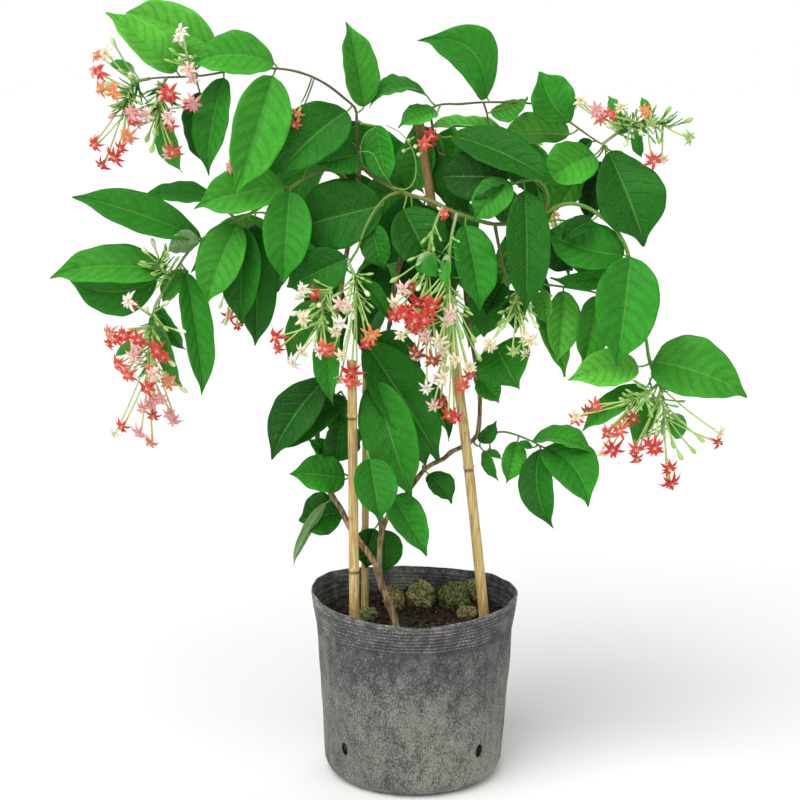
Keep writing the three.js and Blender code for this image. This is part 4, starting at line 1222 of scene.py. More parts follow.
@dataclass(frozen=True)
class BloomForm:
    """The sizes of an open flower in millimetres."""

    reach: float = 14.0
    inner_reach: float = 9.5
    petals: int = 6
    petal_width: float = 3.1
    throat: float = 5.0
    tube: float = 1.15
    stamens: int = 3
    stamen: float = 4.2


def hanging(root: Array, end: Array, sag: float) -> Array:
    """Curves a slim tube from the stalk to a flower's throat.

    Args:
        root: where it leaves the stalk.
        end: the throat.
        sag: how far its middle hangs, as a share of its length.

    Returns:
        The points of its line.
    """
    t = np.linspace(0, 1, 7)[:, None]
    return root + (end - root) * t + 4 * t * (1 - t) * np.array([0, 0, -sag * np.linalg.norm(end - root)])


@dataclass
class FlowerSpray:
    """A hanging flower head: its stalk, and the blooms, buds and small leaves along it.

    Its flowers start at the first share of the stalk. The fringe is the number of small buds and
    bracts, and those past needles_from are long dark needles. The crowd is the share of blooms with a
    smaller one beside them, and strays hang apart.
    """

    name: str
    on: str
    places: Sequence[Seen]
    blooms: Sequence[Bloom]
    buds: Sequence[Bud] = ()
    bracts: Sequence[Leaf] = ()
    first: float = 0.22
    fringe: int = 34
    crowd: float = 0.9
    strays: Sequence[Bloom | Bud] = ()
    form: BloomForm = field(default_factory=BloomForm)
    stalk: tuple[str, str] = ("#6d9c42", "#8fbf5c")
    stray_stalk: str = "#4c6f33"
    stray_tube: float = 15
    bud: float = 3.1
    stray_bud: float = 2.6
    needles_from: int = 34

    def build(self, finish: Material, grown: Lines) -> Piece:
        """Builds the head as one piece.

        Args:
            finish: its material.
            grown: the lines that each piece grows along, added to here.

        Returns:
            The piece.
        """
        points = placed(self.places)
        points[0] = nearest_on(grown[self.on], points[0])
        line = smooth_line(points, 5)
        grown[self.name] = [line]
        sheaf = Sheaf()
        t = np.linspace(0, 1, len(line))
        sheaf.tube(line, 2.0 - 0.7 * t, blend(*map(linear, self.stalk), t[:, None]), 7)
        for index, beside in enumerate(self.companions()):
            root = on_curve(line, self.first + (0.97 - self.first) * (index % 5 + 0.5) / 5)
            self.lay_flower(sheaf, beside, root, index, self.bud)
        along = line[-1] - line[0]
        flowers = sorted([*self.blooms, *self.buds], key=lambda flower: place(flower.at) @ along)
        for index, flower in enumerate(flowers):
            root = on_curve(line, self.first + (0.99 - self.first) * (index + 0.5) / len(flowers))
            self.lay_flower(sheaf, flower, root, index, self.bud)
        for bract in self.bracts:
            self.lay_bract(sheaf, bract, line)
        for index, stray in enumerate(self.strays):
            end = place(stray.at)
            foot = nearest_on([line, *grown[self.on]], end)
            root = end + (foot - end) * min(1.0, self.stray_tube / np.linalg.norm(foot - end))
            sheaf.tube(hanging(foot, root, 0.08), np.linspace(1.0, 0.75, 7), linear(self.stray_stalk), 6)
            self.lay_flower(sheaf, stray, root, index, self.stray_bud)
        self.lay_fringe(sheaf, line)
        return sheaf.bound(f"{self.name}_flowers", finish, self.name)

    def lay_flower(self, sheaf: Sheaf, flower: Bloom | Bud, root: Array, index: int, swell: float) -> None:
        """Lays an open or a closed flower.

        Args:
            sheaf: the mesh that it joins.
            flower: the flower.
            root: where its tube leaves the stalk.
            index: its number on the spray, which varies an open one a little.
            swell: the radius of a closed one at its widest.
        """
        if isinstance(flower, Bloom):
            self.lay_bloom(sheaf, flower, root, index)
        else:
            self.lay_bud(sheaf, place(flower.at), root, linear(flower.hue.value), swell)

    def companions(self) -> list[Bloom]:
        """Sets smaller flowers beside and behind the others by a seeded rule.

        Returns:
            The added flowers.
        """
        draw = draws(611 + 13 * len(self.blooms) + int(abs(self.places[0][0])))
        beside = []
        for index, bloom in enumerate(self.blooms):
            if draw() < self.crowd:
                x, z, y = bloom.at
                spot = (x + 30 * (draw() - 0.5), z + 6 - 20 * draw(), y + 8 + 14 * draw())
                hue = self.blooms[(index + 2) % len(self.blooms)].hue
                beside.append(Bloom(spot, hue, 0.6 + 0.3 * draw()))
        return beside

    def lay_bloom(self, sheaf: Sheaf, bloom: Bloom, root: Array, index: int) -> None:
        """Lays an open flower with its tube, petals in three rows and stamens.

        Args:
            sheaf: the mesh that it joins.
            bloom: the flower.
            root: where its tube leaves the stalk.
            index: its number on the spray, which varies its form a little.
        """
        mouth = place(bloom.at)
        along = unit(mouth - root)
        outward = unit(np.array([mouth[0], mouth[1], 0]))
        facing = unit(np.array([0, np.sign(mouth[1]), 0]) + 0.6 * along + 0.3 * outward)
        hue = linear(bloom.hue.value)
        line = np.vstack([hanging(root, mouth - facing * self.form.throat, 0.03), mouth - facing])
        radii = np.array([1.0, 0.85, 0.85, 0.85, 0.9, 1.0, 1.25, 2.0]) * self.form.tube
        t = np.linspace(0, 1, len(line))[:, None] ** 3
        sheaf.tube(line, radii, blend(linear("#b4dd7a"), 0.6 * linear("#cfd08c") + 0.4 * hue, t), 6)
        across = unit(np.cross(facing, (0.3, 0.1, 1.0)))
        other = np.cross(facing, across)
        draw = draws(977 + 131 * index + int(abs(bloom.at[0])) * 17 + int(bloom.at[1]))
        # The rows of petals: how many, how long, how far they are turned, and how steeply they lift
        rows = (
            (self.form.petals, self.form.reach, 0.0, 0.10),
            (self.form.petals + 1, self.form.inner_reach, 0.63, 0.42),
            (4, 0.6 * self.form.inner_reach, 0.2, 0.8),
        )
        for count, reach, shift, cup in rows:
            for petal in range(count):
                angle = 2 * math.pi * petal / count + shift + 0.6 * (draw() - 0.5)
                way = across * math.cos(angle) + other * math.sin(angle)
                size = reach * bloom.size * (0.76 + 0.34 * draw())
                lift = cup + 0.7 * (draw() - 0.5)
                self.lay_petal(sheaf, mouth, way, facing, size, lift, hue * (0.86 + 0.28 * draw()))
        for stamen in range(self.form.stamens):
            angle = 2.1 * stamen + draw()
            lean = (across * math.cos(angle) + other * math.sin(angle)) * 0.5
            end = mouth + facing * self.form.stamen + lean * 3
            line = np.array([mouth - facing, mouth + facing * 1.5 + lean, end])
            sheaf.tube(line, np.array([0.35, 0.3, 0.6]), linear("#e9dc9a"), 4)

    def lay_petal(
        self, sheaf: Sheaf, mouth: Array, way: Array, facing: Array, size: float, cup: float, tone: Array
    ) -> None:
        """Lays one strap-shaped petal that lifts from the mouth and falls back at its tip.

        Args:
            sheaf: the mesh that it joins.
            mouth: the flower's mouth.
            way: the direction that it spreads in.
            facing: the direction that the flower faces.
            size: its length.
            cup: how steeply it lifts at first.
            tone: its colour.
        """
        shape = unit_sheet(2, 5)
        v, u, level = shape.spots()
        widest = self.form.petal_width / 2 * (0.4 + 0.6 * size / self.form.reach)
        half = widest * (0.3 * (1 - u) + np.sin(np.pi * u**0.75))
        half = np.where(u > 0.999, 0.12, half)
        rise = size * (cup * u - 0.42 * u**2.4) + 0.9 * np.abs(v) * half / 3
        side = np.cross(facing, way)
        points = mouth + way * (1.2 + size * (u - 0.14 * u**3))[:, None]
        points = points + side * (v * half)[:, None] + facing * (rise + np.sign(level) * 0.2)[:, None]
        sheaf.lay(shape, points, tone)

    def lay_bud(self, sheaf: Sheaf, end: Array, root: Array, tone: Array, swell: float) -> None:
        """Lays a closed bud on its slim tube.

        Args:
            sheaf: the mesh that it joins.
            end: the bud's end.
            root: where its tube leaves the stalk.
            tone: the bud's colour.
            swell: its radius at the widest.
        """
        length = float(np.linalg.norm(end - root))
        # The bud takes up the last 13 mm, or the last half of a short tube
        bulge = [
            1 - min(most, from_end / length)
            for most, from_end in ((0.5, 13), (0.34, 8), (0.2, 4.5), (0.08, 1.6))
        ]
        shares = np.array([0, 0.3, 0.62, *bulge, 1.0])
        hang = np.array([0, 0, -0.03 * length])
        line = root + (end - root) * shares[:, None] + (4 * shares * (1 - shares))[:, None] * hang
        radii = np.array([1.15, 1.05, 1.05, 0.42 * swell, 0.85 * swell, swell, 0.62 * swell, 0.25])
        sheaf.tube(line, radii, blend(linear("#98c860"), tone, ease(0.55, 0.9, shares)[:, None]), 6)

    def lay_bract(self, sheaf: Sheaf, bract: Leaf, line: Array) -> None:
        """Lays a small leaf of the head.

        Args:
            sheaf: the mesh that it joins.
            bract: the leaf.
            line: the stalk that it grows on.
        """
        form = BladeForm(columns=8, rows=16, quilt=0.5, groove=0.4)
        blade = Blade(bract)
        shape = unit_sheet(form.columns, form.rows)
        sheaf.lay(shape, blade.surface(shape, form), linear(bract.tone.value))
        stalk, radii = blade.petiole([line], form)
        sheaf.tube(stalk, radii * 0.8, linear("#7fa850"), 5)

    def lay_fringe(self, sheaf: Sheaf, line: Array) -> None:
        """Lays the small green buds and narrow bracts that stand along the stalk.

        Args:
            sheaf: the mesh that they join.
            line: the stalk.
        """
        draw = draws(4021 + 7 * int(abs(self.places[0][0])) + int(self.places[0][1]))
        across, other, along = frames_along(line)
        for index in range(self.fringe):
            row = int((0.25 + 0.74 * draw()) * (len(line) - 1))
            angle = 2.4 * index + draw()
            way = across[row] * math.cos(angle) + other[row] * math.sin(angle)
            way = unit(way + along[row] * (0.2 + 0.9 * draw()))
            root = line[row]
            if index % 3 == 2 or index > self.needles_from:
                shortest = 9 if index <= self.needles_from else 16
                self.lay_bristle(sheaf, root, way, along[row], shortest + 12 * draw())
            else:
                end = root + way * (12 + 20 * draw()) + np.array([0, 0, -3 * draw()])
                self.lay_bud(sheaf, end, root, linear("#a9cf74"), 1.5 + 0.6 * draw())

    def lay_bristle(self, sheaf: Sheaf, root: Array, way: Array, along: Array, size: float) -> None:
        """Lays one narrow pointed bract.

        Args:
            sheaf: the mesh that it joins.
            root: where it leaves the stalk.
            way: its direction.
            along: the stalk's direction.
            size: its length.
        """
        shape = unit_sheet(2, 5)
        v, u, level = shape.spots()
        side = unit(np.cross(way, along))
        up = np.cross(side, way)
        half = max(1.5, 0.09 * size) * np.maximum(0.12, np.sin(np.pi * u**0.7))
        points = root + way * (size * u)[:, None] + side * (v * half)[:, None]
        points = points + up * (0.8 * np.abs(v) - 2.2 * u**2 + np.sign(level) * 0.2)[:, None]
        sheaf.lay(shape, points, linear("#5f9c3f" if size < 18 else "#337f26"))


@dataclass
class FarSpray:
    """A head on the far side, whose flowers stand in a loose ball round its stalk's end by a rule."""

    name: str
    on: str
    places: Sequence[Seen]
    seed: int
    hues: Sequence[Hue]
    count: int = 8
    turn: float = 2.4
    out: tuple[float, float] = (20, 38)
    drop: float = 67
    scatter: float = 8

    def spray(self) -> FlowerSpray:
        """Sets the flowers, each a turn further and a step lower than the last.

        Returns:
            The head with its flowers.
        """
        draw = draws(self.seed)
        x, z, y = self.places[-1]
        blooms, buds = [], []
        for index in range(self.count):
            turn = index * self.turn
            out = self.out[0] + (self.out[1] - self.out[0]) * draw()
            drop = index * self.drop / self.count + self.scatter * draw()
            spot = (x + out * math.cos(turn), z - drop, y + out * math.sin(turn) + self.scatter)
            if index % 3 == 1:
                buds.append(Bud(spot))
            else:
                blooms.append(Bloom(spot, self.hues[len(blooms) % len(self.hues)]))
        return FlowerSpray(self.name, self.on, self.places, blooms, buds)


# Wood: the vine and the bamboo


@dataclass(frozen=True)
class Limb:
    """One piece of the old wood: its seen places and its radius at the foot and the end."""

    places: Sequence[Seen]
    radius: float
    end_radius: float


@dataclass
class WoodyVine:
    """The trunk in the soil and the old stems that climb from it."""

    limbs: Sequence[Limb]
    step: float = 5.0
    knot_step: float = 52.0

    def build(self, bark: Material, grown: Lines) -> Piece:
        """Builds the wood as one piece.

        Args:
            bark: its material.
            grown: the lines that each piece grows along, added to here.

        Returns:
            The piece.
        """
        sheaf = Sheaf()
        grown["woody_vine"] = []
        for number, limb in enumerate(self.limbs):
            line = smooth_line(placed(limb.places), self.step)
            grown["woody_vine"].append(line)
            self.lay_limb(sheaf, line, limb, number)
        return sheaf.bound("vine_wood", bark, "woody_vine")

    def lay_limb(self, sheaf: Sheaf, line: Array, limb: Limb, number: int) -> None:
        """Lays one stem with bulges, knots and a rough skin.

        Args:
            sheaf: the mesh that it joins.
            line: its axis.
            limb: its sizes.
            number: its number, which varies the knots.
        """
        shape, _, row, out, _ = wrapped(line, 12)
        run = np.arange(len(line)) * self.step
        radii = limb.radius + (limb.end_radius - limb.radius) * run / run[-1]
        knots = np.exp(-((((run + 17 * number) % self.knot_step) - self.knot_step / 2) ** 2) / 18)
        radii = radii * (1 + 0.16 * knots)
        rough = np.array([
            1 + 0.16 * noise.noise(Vector((c + s * 4) * (0.16, 0.16, 0.05))) for c, s in zip(line[row], out)
        ])
        sheaf.lay(shape, line[row] + out * (radii[row] * rough)[:, None], np.ones(3))


@dataclass(frozen=True)
class Stake:
    """A bamboo stake: its seen places, the height of each ring, its radius, and where and how much its upper
    part is painted darker, for shade under the leaves and for weathering.
    """

    name: str
    places: Sequence[Seen]
    rings: Sequence[float]
    radius: float
    shade_and_weather_from: float = 2.0
    shade_and_weather: tuple[float, float, float] = (0.5, 0.42, 0.38)

    def build(self, skin: Material) -> Piece:
        """Builds the stake with its swollen rings and their sheath scars.

        Args:
            skin: its material.

        Returns:
            The piece.
        """
        low, tall = self.places[0][1], self.places[-1][1] - self.places[0][1]
        near = [(z - low) / tall + np.linspace(-7, 7, 15) / tall for z in self.rings]
        shares = np.unique(np.concatenate([np.linspace(0, 1, 46), *near]))
        fine = smooth_line(placed(self.places), 2)
        line = np.array([on_curve(fine, t) for t in shares])
        radii = self.radius * (1 - 0.15 * shares)
        # Painted shade and weathering: past this share of its length the stake is darkened, for the shade of
        # the leaves over it and for weather
        shade_and_weather_share = ease(self.shade_and_weather_from, self.shade_and_weather_from + 0.1, shares)[:, None]
        tones = 1 - shade_and_weather_share * (1 - np.array(self.shade_and_weather))
        for z in self.rings:
            off = (shares - (z - low) / tall) * tall
            radii = radii + 0.95 * np.exp(-((off / 2.2) ** 2)) - 0.45 * np.exp(-(((off + 3.6) / 1.1) ** 2))
            tones *= (1 - 0.85 * np.exp(-(((off + 3.4) / 1.7) ** 2)))[:, None]
        radii = radii * (1 + 0.012 * np.sin(shares * 60))
        sheaf = Sheaf()
        sheaf.tube(line, radii, tones, 20)
        return sheaf.bound(f"{self.name}_culm", skin, self.name)


# The bag and what fills it


@dataclass
class NurseryBag:
    """The soft round bag: foot, leaning wall, fine ridges under the rim, and drain holes."""

    height: float = 219.0
    rim: float = 125.0
    shoulder: float = 183.0
    shoulder_radius: float = 119.0
    foot: float = 109.0
    foot_round: float = 22.0
    lean: float = 2.4
    saddle: float = 8.0
    wall: float = 2.0
    floor: float = 3.0
    ridges: int = 7
    ridge_pitch: float = 4.1
    ridge_depth: float = 1.1
    steps: int = 160
    holes: Sequence[float] = (-48.0, 45.0, 135.0, 228.0)
    hole_middle: float = 50.0
    hole_half: tuple[float, float] = (6.0, 8.5)
    hole_depth: float = 40.0

    def crests(self) -> list[tuple[float, float]]:
        """Lists each ridge's radius and its lower edge's height, from the shoulder up."""
        return [
            (self.shoulder_radius + (self.rim - self.shoulder_radius) * (ridge + 1) / (self.ridges + 1),
             self.shoulder + 2 + ridge * self.ridge_pitch)
            for ridge in range(self.ridges)
        ]

    def profile(self) -> list[tuple[float, float]]:
        """Lists the wall's corners: the outside from the foot to the rim, and the inside back down.

        Returns:
            Radius and height of each.
        """
        foot = [
            (self.foot - self.foot_round * (1 - math.sin(a)), self.foot_round * (1 - math.cos(a)))
            for a in np.linspace(0, math.pi / 2, 8)
        ]
        wall = [
            (self.foot + (self.shoulder_radius - self.foot) * t,
             self.foot_round + (self.shoulder - self.foot_round) * t)
            for t in np.linspace(0, 1, 26)[1:]
        ]
        ridged = [
            (out - back, z + part * self.ridge_pitch)
            for out, z in self.crests()
            for back, part in ((self.ridge_depth, 0), (0.1, 0.3), (0, 0.5), (0.1, 0.7))
        ]
        rim = [
            (self.rim - 1.2, self.height - 4.5), (self.rim - 0.2, self.height - 2.6),
            (self.rim, self.height - 1.2), (self.rim - 0.5, self.height),
            (self.rim - self.wall + 0.4, self.height), (self.rim - self.wall, self.height - 1.5),
        ]
        grooved = [
            (out - self.wall - back, z + part * self.ridge_pitch)
            for out, z in reversed(self.crests())
            for back, part in ((0, 0.5), (0.8 * self.ridge_depth, 0))
        ]
        low = [
            (self.shoulder_radius - self.wall, self.shoulder - 4), (self.foot - self.wall, self.foot_round),
            (self.foot - 0.55 * self.foot_round, self.floor), (0.0, self.floor),
        ]
        return [(0.0, 0.0), (60.0, 0.0), *foot, *wall, *ridged, *rim, *grooved, *low]

    def swayed(self, points: Array) -> Array:
        """Sways and leans the wall as the soft film does.

        Args:
            points: upright places.

        Returns:
            The swayed places.
        """
        x, y, z = points.T
        radius = np.hypot(x, y)
        angle = np.arctan2(y, x)
        reach = ease(90, 110, radius) * ease(0, 80, z)
        wave = 1.6 * (np.sin(3 * angle + 0.6) + 0.6 * np.sin(5 * angle - 1.1 + z / 60))
        dents = 0.5 * np.sin(11 * angle + z / 23) * np.sin(z / 31 + 2 * angle)
        dents += 0.35 * np.sin(17 * angle - z / 14)
        lip = ease(203, 219, z) * (0.5 * np.sin(9 * angle + 1) + 0.4 * np.sin(23 * angle))
        scale = 1 + reach * (wave + dents * ease(20, 60, z) + lip) / np.maximum(radius, 1)
        drop = self.lean * x / self.rim * ease(120, self.height, z)
        drop -= self.saddle * (x / self.rim) ** 2 * ease(SOIL_LEVEL, self.height, z)
        uneven = ease(208, 219, z) * (0.5 * np.sin(7 * angle) + 0.35 * np.sin(13 * angle + 2))
        return np.column_stack([x * scale, y * scale, z - drop - uneven - 0.4 * ease(208, 219, z)])

    def build(self, finish: Material) -> Piece:
        """Builds the bag as one piece.

        Args:
            finish: its material.

        Returns:
            The piece.
        """
        bag = spun("bag_film", self.profile(), self.steps)
        mesh = bag.data
        points = self.swayed(read(mesh.vertices, "co", 3, float) / MM)
        self.tint(mesh, points)
        mesh.vertices.foreach_set("co", (points * MM).ravel())
        for angle in self.holes:
            self.punch(bag, math.radians(angle))
        pick(bag)
        bpy.ops.object.shade_smooth_by_angle(angle=math.radians(50))
        return dressed(bag, finish, "bag")

    def tint(self, mesh: bpy.types.Mesh, points: Array) -> None:
        """Lays the bag's tones: painted highlights on the ridge crests, a pale worn foot and a dark band
        under the rim.

        Args:
            mesh: the bag's mesh.
            points: its places in millimetres.
        """
        x, y, z = points.T
        angle = np.arctan2(y, x)
        light = np.ones(len(points))
        # Painted highlights: a thin light line along each ridge crest
        crest = 0.5 - 0.5 * np.cos(2 * math.pi * (z - self.shoulder - 2) / self.ridge_pitch)
        light += 1.7 * crest**4 * ease(183, 187, z) - 0.3 * ease(176, 186, z) + 0.7 * ease(214, 217, z)
        light += 0.35 * ease(30, 8, z) * (0.6 + 0.4 * np.sin(3 * angle + 2.2))
        light -= 0.12 * ease(120, 60, z) * np.sin(2 * angle)
        tones = np.ones((len(points), 4))
        tones[:, :3] = light[:, None] * (1 + ease(150, 90, z)[:, None] * np.array([0.06, 0.08, -0.02]))
        mesh.color_attributes.new("tone", "FLOAT_COLOR", "POINT").data.foreach_set("color", tones.ravel())

    def punch(self, bag: Piece, angle: float) -> None:
        """Cuts one oval drain hole.

        Args:
            bag: the bag.
            angle: where it is, from the front towards the right.
        """
        bpy.ops.object.select_all(action="DESELECT")
        bpy.ops.mesh.primitive_cylinder_add(vertices=24, radius=1, depth=1)
        cutter = bpy.context.object
        x, y, z = read(cutter.data.vertices, "co", 3, float).T
        across, out = self.hole_half[0] * x, -self.foot + self.hole_depth * z
        cos, sin = math.cos(angle), math.sin(angle)
        points = np.column_stack([
            across * cos - out * sin, across * sin + out * cos, self.hole_middle - self.hole_half[1] * y
        ])
        cutter.data.vertices.foreach_set("co", (points * MM).ravel())
        cut = bag.modifiers.new("drain", "BOOLEAN")
        cut.operation = "DIFFERENCE"
        cut.solver = "EXACT"
        cut.object = cutter
        bpy.context.view_layer.objects.active = bag
        bpy.ops.object.modifier_apply(modifier="drain")
        bpy.data.objects.remove(cutter)


def spun(name: str, profile: Sequence[tuple[float, float]], steps: int) -> Piece:
    """Turns a profile about the upright axis.

    Args:
        name: the piece's name.
        profile: radius and height of each corner, in millimetres, from the axis back to it.
        steps: faces round.

    Returns:
        The turned piece with its normals facing out.
    """
    mesh = bpy.data.meshes.new(name)
    corners = [(radius * MM, 0, z * MM) for radius, z in profile]
    mesh.from_pydata(corners, [(i, i + 1) for i in range(len(corners) - 1)], [])
    piece = linked(name, mesh)
    pick(piece)
    bpy.ops.object.mode_set(mode="EDIT")
    bpy.ops.mesh.select_all(action="SELECT")
    bpy.ops.mesh.spin(steps=steps, angle=2 * math.pi, center=(0, 0, 0), axis=(0, 0, 1))
    bpy.ops.mesh.select_all(action="SELECT")
    bpy.ops.mesh.remove_doubles(threshold=1e-6)
    bpy.ops.mesh.normals_make_consistent(inside=False)
    bpy.ops.object.mode_set(mode="OBJECT")
    return piece


def soil_height(x: Array, y: Array) -> Array:
    """Gives the height of the soil.

    Args:
        x: places across, in millimetres.
        y: places in depth.

    Returns:
        The heights in millimetres.
    """
    slow = np.sin(x / 23 + 1.3) * np.cos(y / 19 - 0.4)
    quick = np.sin(x / 9 - 2.1) * np.sin(y / 11 + 0.9)
    return SOIL_LEVEL + 3.5 * (0.7 * slow + 0.4 * quick)


@dataclass
class SoilFill:
    """The soil in the bag with its crumbs and chips."""

    bag: NurseryBag
    crumbs: int = 620

    def build(self, finish: Material) -> Piece:
        """Builds the soil as one piece.

        Args:
            finish: its material.

        Returns:
            The piece.
        """
        edge = self.bag.shoulder_radius - self.bag.wall - 0.6
        shape = unit_tube(96, 44)
        radii = np.concatenate([[0, self.bag.foot - 16, self.bag.foot - 3.4], np.linspace(edge, 0, 41)])
        levels = np.concatenate([[3.6, 3.6, 22], np.full(41, SOIL_LEVEL)])
        ring = np.rint(shape.points[:, 2] * 43).astype(int)
        x, y = (shape.points[:, axis] * radii[ring] for axis in (0, 1))
        points = self.bag.swayed(np.column_stack([x, y, levels[ring]]))
        top = ring > 2
        crumbly = np.array([
            2.2 * noise.noise(Vector((x / 7, y / 7, 3))) + 1.1 * noise.noise(Vector((x / 2.6, y / 2.6, 9)))
            for x, y, _ in points
        ])
        fade = ease(0, 6, edge - np.hypot(points[:, 0], points[:, 1]))
        points[:, 2] = np.where(top, soil_height(points[:, 0], points[:, 1]) + crumbly * fade, points[:, 2])
        sheaf = Sheaf()
        sheaf.lay(shape, points, np.ones(3))
        self.scatter(sheaf, edge)
        return sheaf.bound("potting_soil", finish, "soil")

    def scatter(self, sheaf: Sheaf, edge: float) -> None:
        """Scatters crumbs half sunk over the surface.

        Args:
            sheaf: the mesh that they join.
            edge: how far out they lie.
        """
        draw = draws(7331)
        shape = unit_ball(1)
        for _ in range(self.crumbs):
            out = (edge - 4) * math.sqrt(draw())
            turn = 2 * math.pi * draw()
            x, y = out * math.cos(turn), out * math.sin(turn)
            size = 0.9 + 2.6 * draw() ** 2
            stretch = np.array([0.7 + 0.8 * draw(), 0.7 + 0.8 * draw(), 0.6 + 0.5 * draw()]) * size
            centre = np.array([x, y, float(soil_height(x, y)) + 0.35 * size])
            sheaf.lay(shape, centre + shape.points * stretch, np.ones(3) * (0.6 + 0.8 * draw()))


@dataclass(frozen=True)
class MossyLump:
    """A rough lump that lies in the soil: where, its half sizes, its tint, and how light most lumps are."""

    name: str
    at: tuple[float, float]
    half: tuple[float, float, float]
    tint: str
    middling: float = 0.3

    def build(self, crust: Material) -> Piece:
        """Builds the lump with pits, knobs and small cushions of moss.

        Args:
            crust: its material.

        Returns:
            The piece.
        """
        x, y = self.at
        centre = np.array([x, y, float(soil_height(x, y)) + 0.68 * self.half[2]])
        shape = unit_ball(5)
        px, py, pz = shape.points.T
        rough = 1 + 0.13 * np.sin(7 * px + x) * np.cos(6 * py + y) * np.sin(5 * pz + 1)
        knobs = np.array([
            0.20 * noise.noise(Vector(p * 2.1 + centre / 9))
            + 0.12 * noise.noise(Vector(p * 5.5 + centre / 5))
            + 0.05 * noise.noise(Vector(p * 14 + centre / 3))
            for p in shape.points
        ])
        points = centre + shape.points * np.array(self.half) * (rough + knobs - 0.03)[:, None]
        sheaf = Sheaf()
        sheaf.lay(shape, points, linear(self.tint) / self.middling)
        return sheaf.bound(f"{self.name}_crust", crust, self.name)


# Floor, light and camera


@dataclass
class Studio:
    """The pale floor, the soft light and the camera at the photograph's angle."""

    lens: float = 77.1
    pitch: float = 10.8
    floor_radius: float = 60.0
    air: float = 0.3

    def set_up(self) -> None:
        """Lays the floor, hangs the lights and sets the camera."""
        bpy.ops.object.select_all(action="DESELECT")
        bpy.ops.mesh.primitive_circle_add(vertices=96, radius=self.floor_radius, fill_type="NGON")
        floor = bpy.context.object
        floor.name = "studio_floor"
        floor.data.materials.append(StudioPaper().material())
        floor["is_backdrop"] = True
        self.fill_air()
        self.softbox("key", (-1.1, -1.5, 2.2), 55, 2.6)
        self.softbox("fill", (1.6, -1.5, 0.9), 60, 0.7)
        self.softbox("back", (0.4, 1.8, 1.6), 60, 0.6)
        self.point_camera()

    def fill_air(self) -> None:
        """Fills the room with even light, and lets its walls show white."""
        world = bpy.data.worlds.new("studio_air")
        world.use_nodes = True
        tree = world.node_tree
        background = tree.nodes["Background"]
        background.inputs["Color"].default_value = (1, 1, 1, 1)
        path = tree.nodes.new("ShaderNodeLightPath")
        strength = tree.nodes.new("ShaderNodeMapRange")
        strength.inputs["To Min"].default_value = self.air
        strength.inputs["To Max"].default_value = 1.0
        tree.links.new(path.outputs["Is Camera Ray"], strength.inputs["Value"])
        tree.links.new(strength.outputs[0], background.inputs["Strength"])
        bpy.context.scene.world = world

    def softbox(self, name: str, way: Seen, width: float, power: float) -> None:
        """Hangs one far, wide, soft light.

        Args:
            name: the light's name.
            way: the direction that it shines from.
            width: how wide it looks from the plant, in degrees.
            power: its strength.
        """
        data = bpy.data.lights.new(name, "SUN")
        data.angle = math.radians(width)
        data.energy = power
        linked(name, data).rotation_euler = (-Vector(way)).to_track_quat("-Z", "Y").to_euler()

    def point_camera(self) -> None:
        """Sets the camera where the photograph was taken from."""
        data = bpy.data.cameras.new("camera")
        data.lens = self.lens
        data.sensor_width = 36
        camera = linked("camera", data)
        camera.location = tuple(value * MM for value in FRONT_EYE)
        camera.rotation_euler = (math.radians(90 - self.pitch), 0, 0)
        bpy.context.scene.camera = camera
        bpy.context.scene.view_settings.view_transform = "Standard"


# The plant's own rows, as laid out from the front

FRESH, BRIGHT, MID, DARK, DEEP, PALE = Tone
WHITE, CREAM, GREENISH, BLUSH, PINK, SALMON, ORANGE, CORAL, RED, CRIMSON, RUST, LEAFY = Hue

LUMPS = (
    MossyLump("mossy_lump_1", (10, 52), (18.5, 16, 18), "#b6b196"),
    MossyLump("mossy_lump_2", (51, 42), (19, 16, 19), "#5f6e3e"),
    MossyLump("mossy_lump_3", (76, 70), (13, 11, 15), "#8d8a68"),
    MossyLump("mossy_lump_4", (66, 4), (13, 11, 10), "#8a7a5c"),
    MossyLump("mossy_lump_5", (-56, -8), (13, 11, 10), "#5f7050"),
    MossyLump("mossy_lump_6", (-23, 34), (13, 11, 15), "#9a8a64"),
    MossyLump("mossy_lump_7", (-26, 80), (13, 11, 9), "#858768"),
)

STAKES = (
    Stake("stake_left", ((-71, 95, -76), (-72, 300, -70), (-73, 506, -63)), (250, 440), 6.3),
    Stake("stake_right", ((95, 112, -40), (61, 420, -30), (25, 664, -15), (4, 798, -4)), (375, 600), 6.3,
        0.72),
    Stake("stake_rear", ((-60, 95, 34), (-58, 300, 32), (-56, 520, 30)), (300, 470), 4.8),
)

LIMBS = (
    Limb(((-12, 130, -33), (-22, 184, -33), (-31, 212, -32), (-39, 232, -30), (-43, 252, -28)), 5, 4.4),
    Limb(((-41, 240, -29), (-46, 257, -28), (-58, 276, -24), (-76, 302, -16), (-88, 328, -6), (-99, 345,
        2), (-112, 380, 8), (-114, 430, 12), (-104, 480, 14), (-94, 540, 16), (-84, 600, 20), (-74, 660,
        24), (-66, 705, 16), (-63, 735, 0)), 3.6, 2.6),
    Limb(((-43, 244, -29), (-41, 262, -28), (-40, 285, -25), (-38, 305, -22), (-42, 340, -12), (-46, 385,
        -5), (-46, 430, 0), (-42, 480, 4), (-32, 530, 6), (-24, 580, 8), (-16, 630, 8)), 3.3, 2.2),
    Limb(((-39, 296, -23), (-30, 318, -20), (-14, 337, -15), (-4, 351, -10), (4, 363, -5), (13, 374, 0),
        (22, 381, 3), (36, 388, 6), (45, 396, 8), (57, 402, 10), (70, 410, 11), (77, 422, 11), (79, 460,
        8), (74, 500, 2), (66, 545, -2), (60, 595, 2), (52, 645, 6), (42, 692, 8)), 3, 2.2),
)

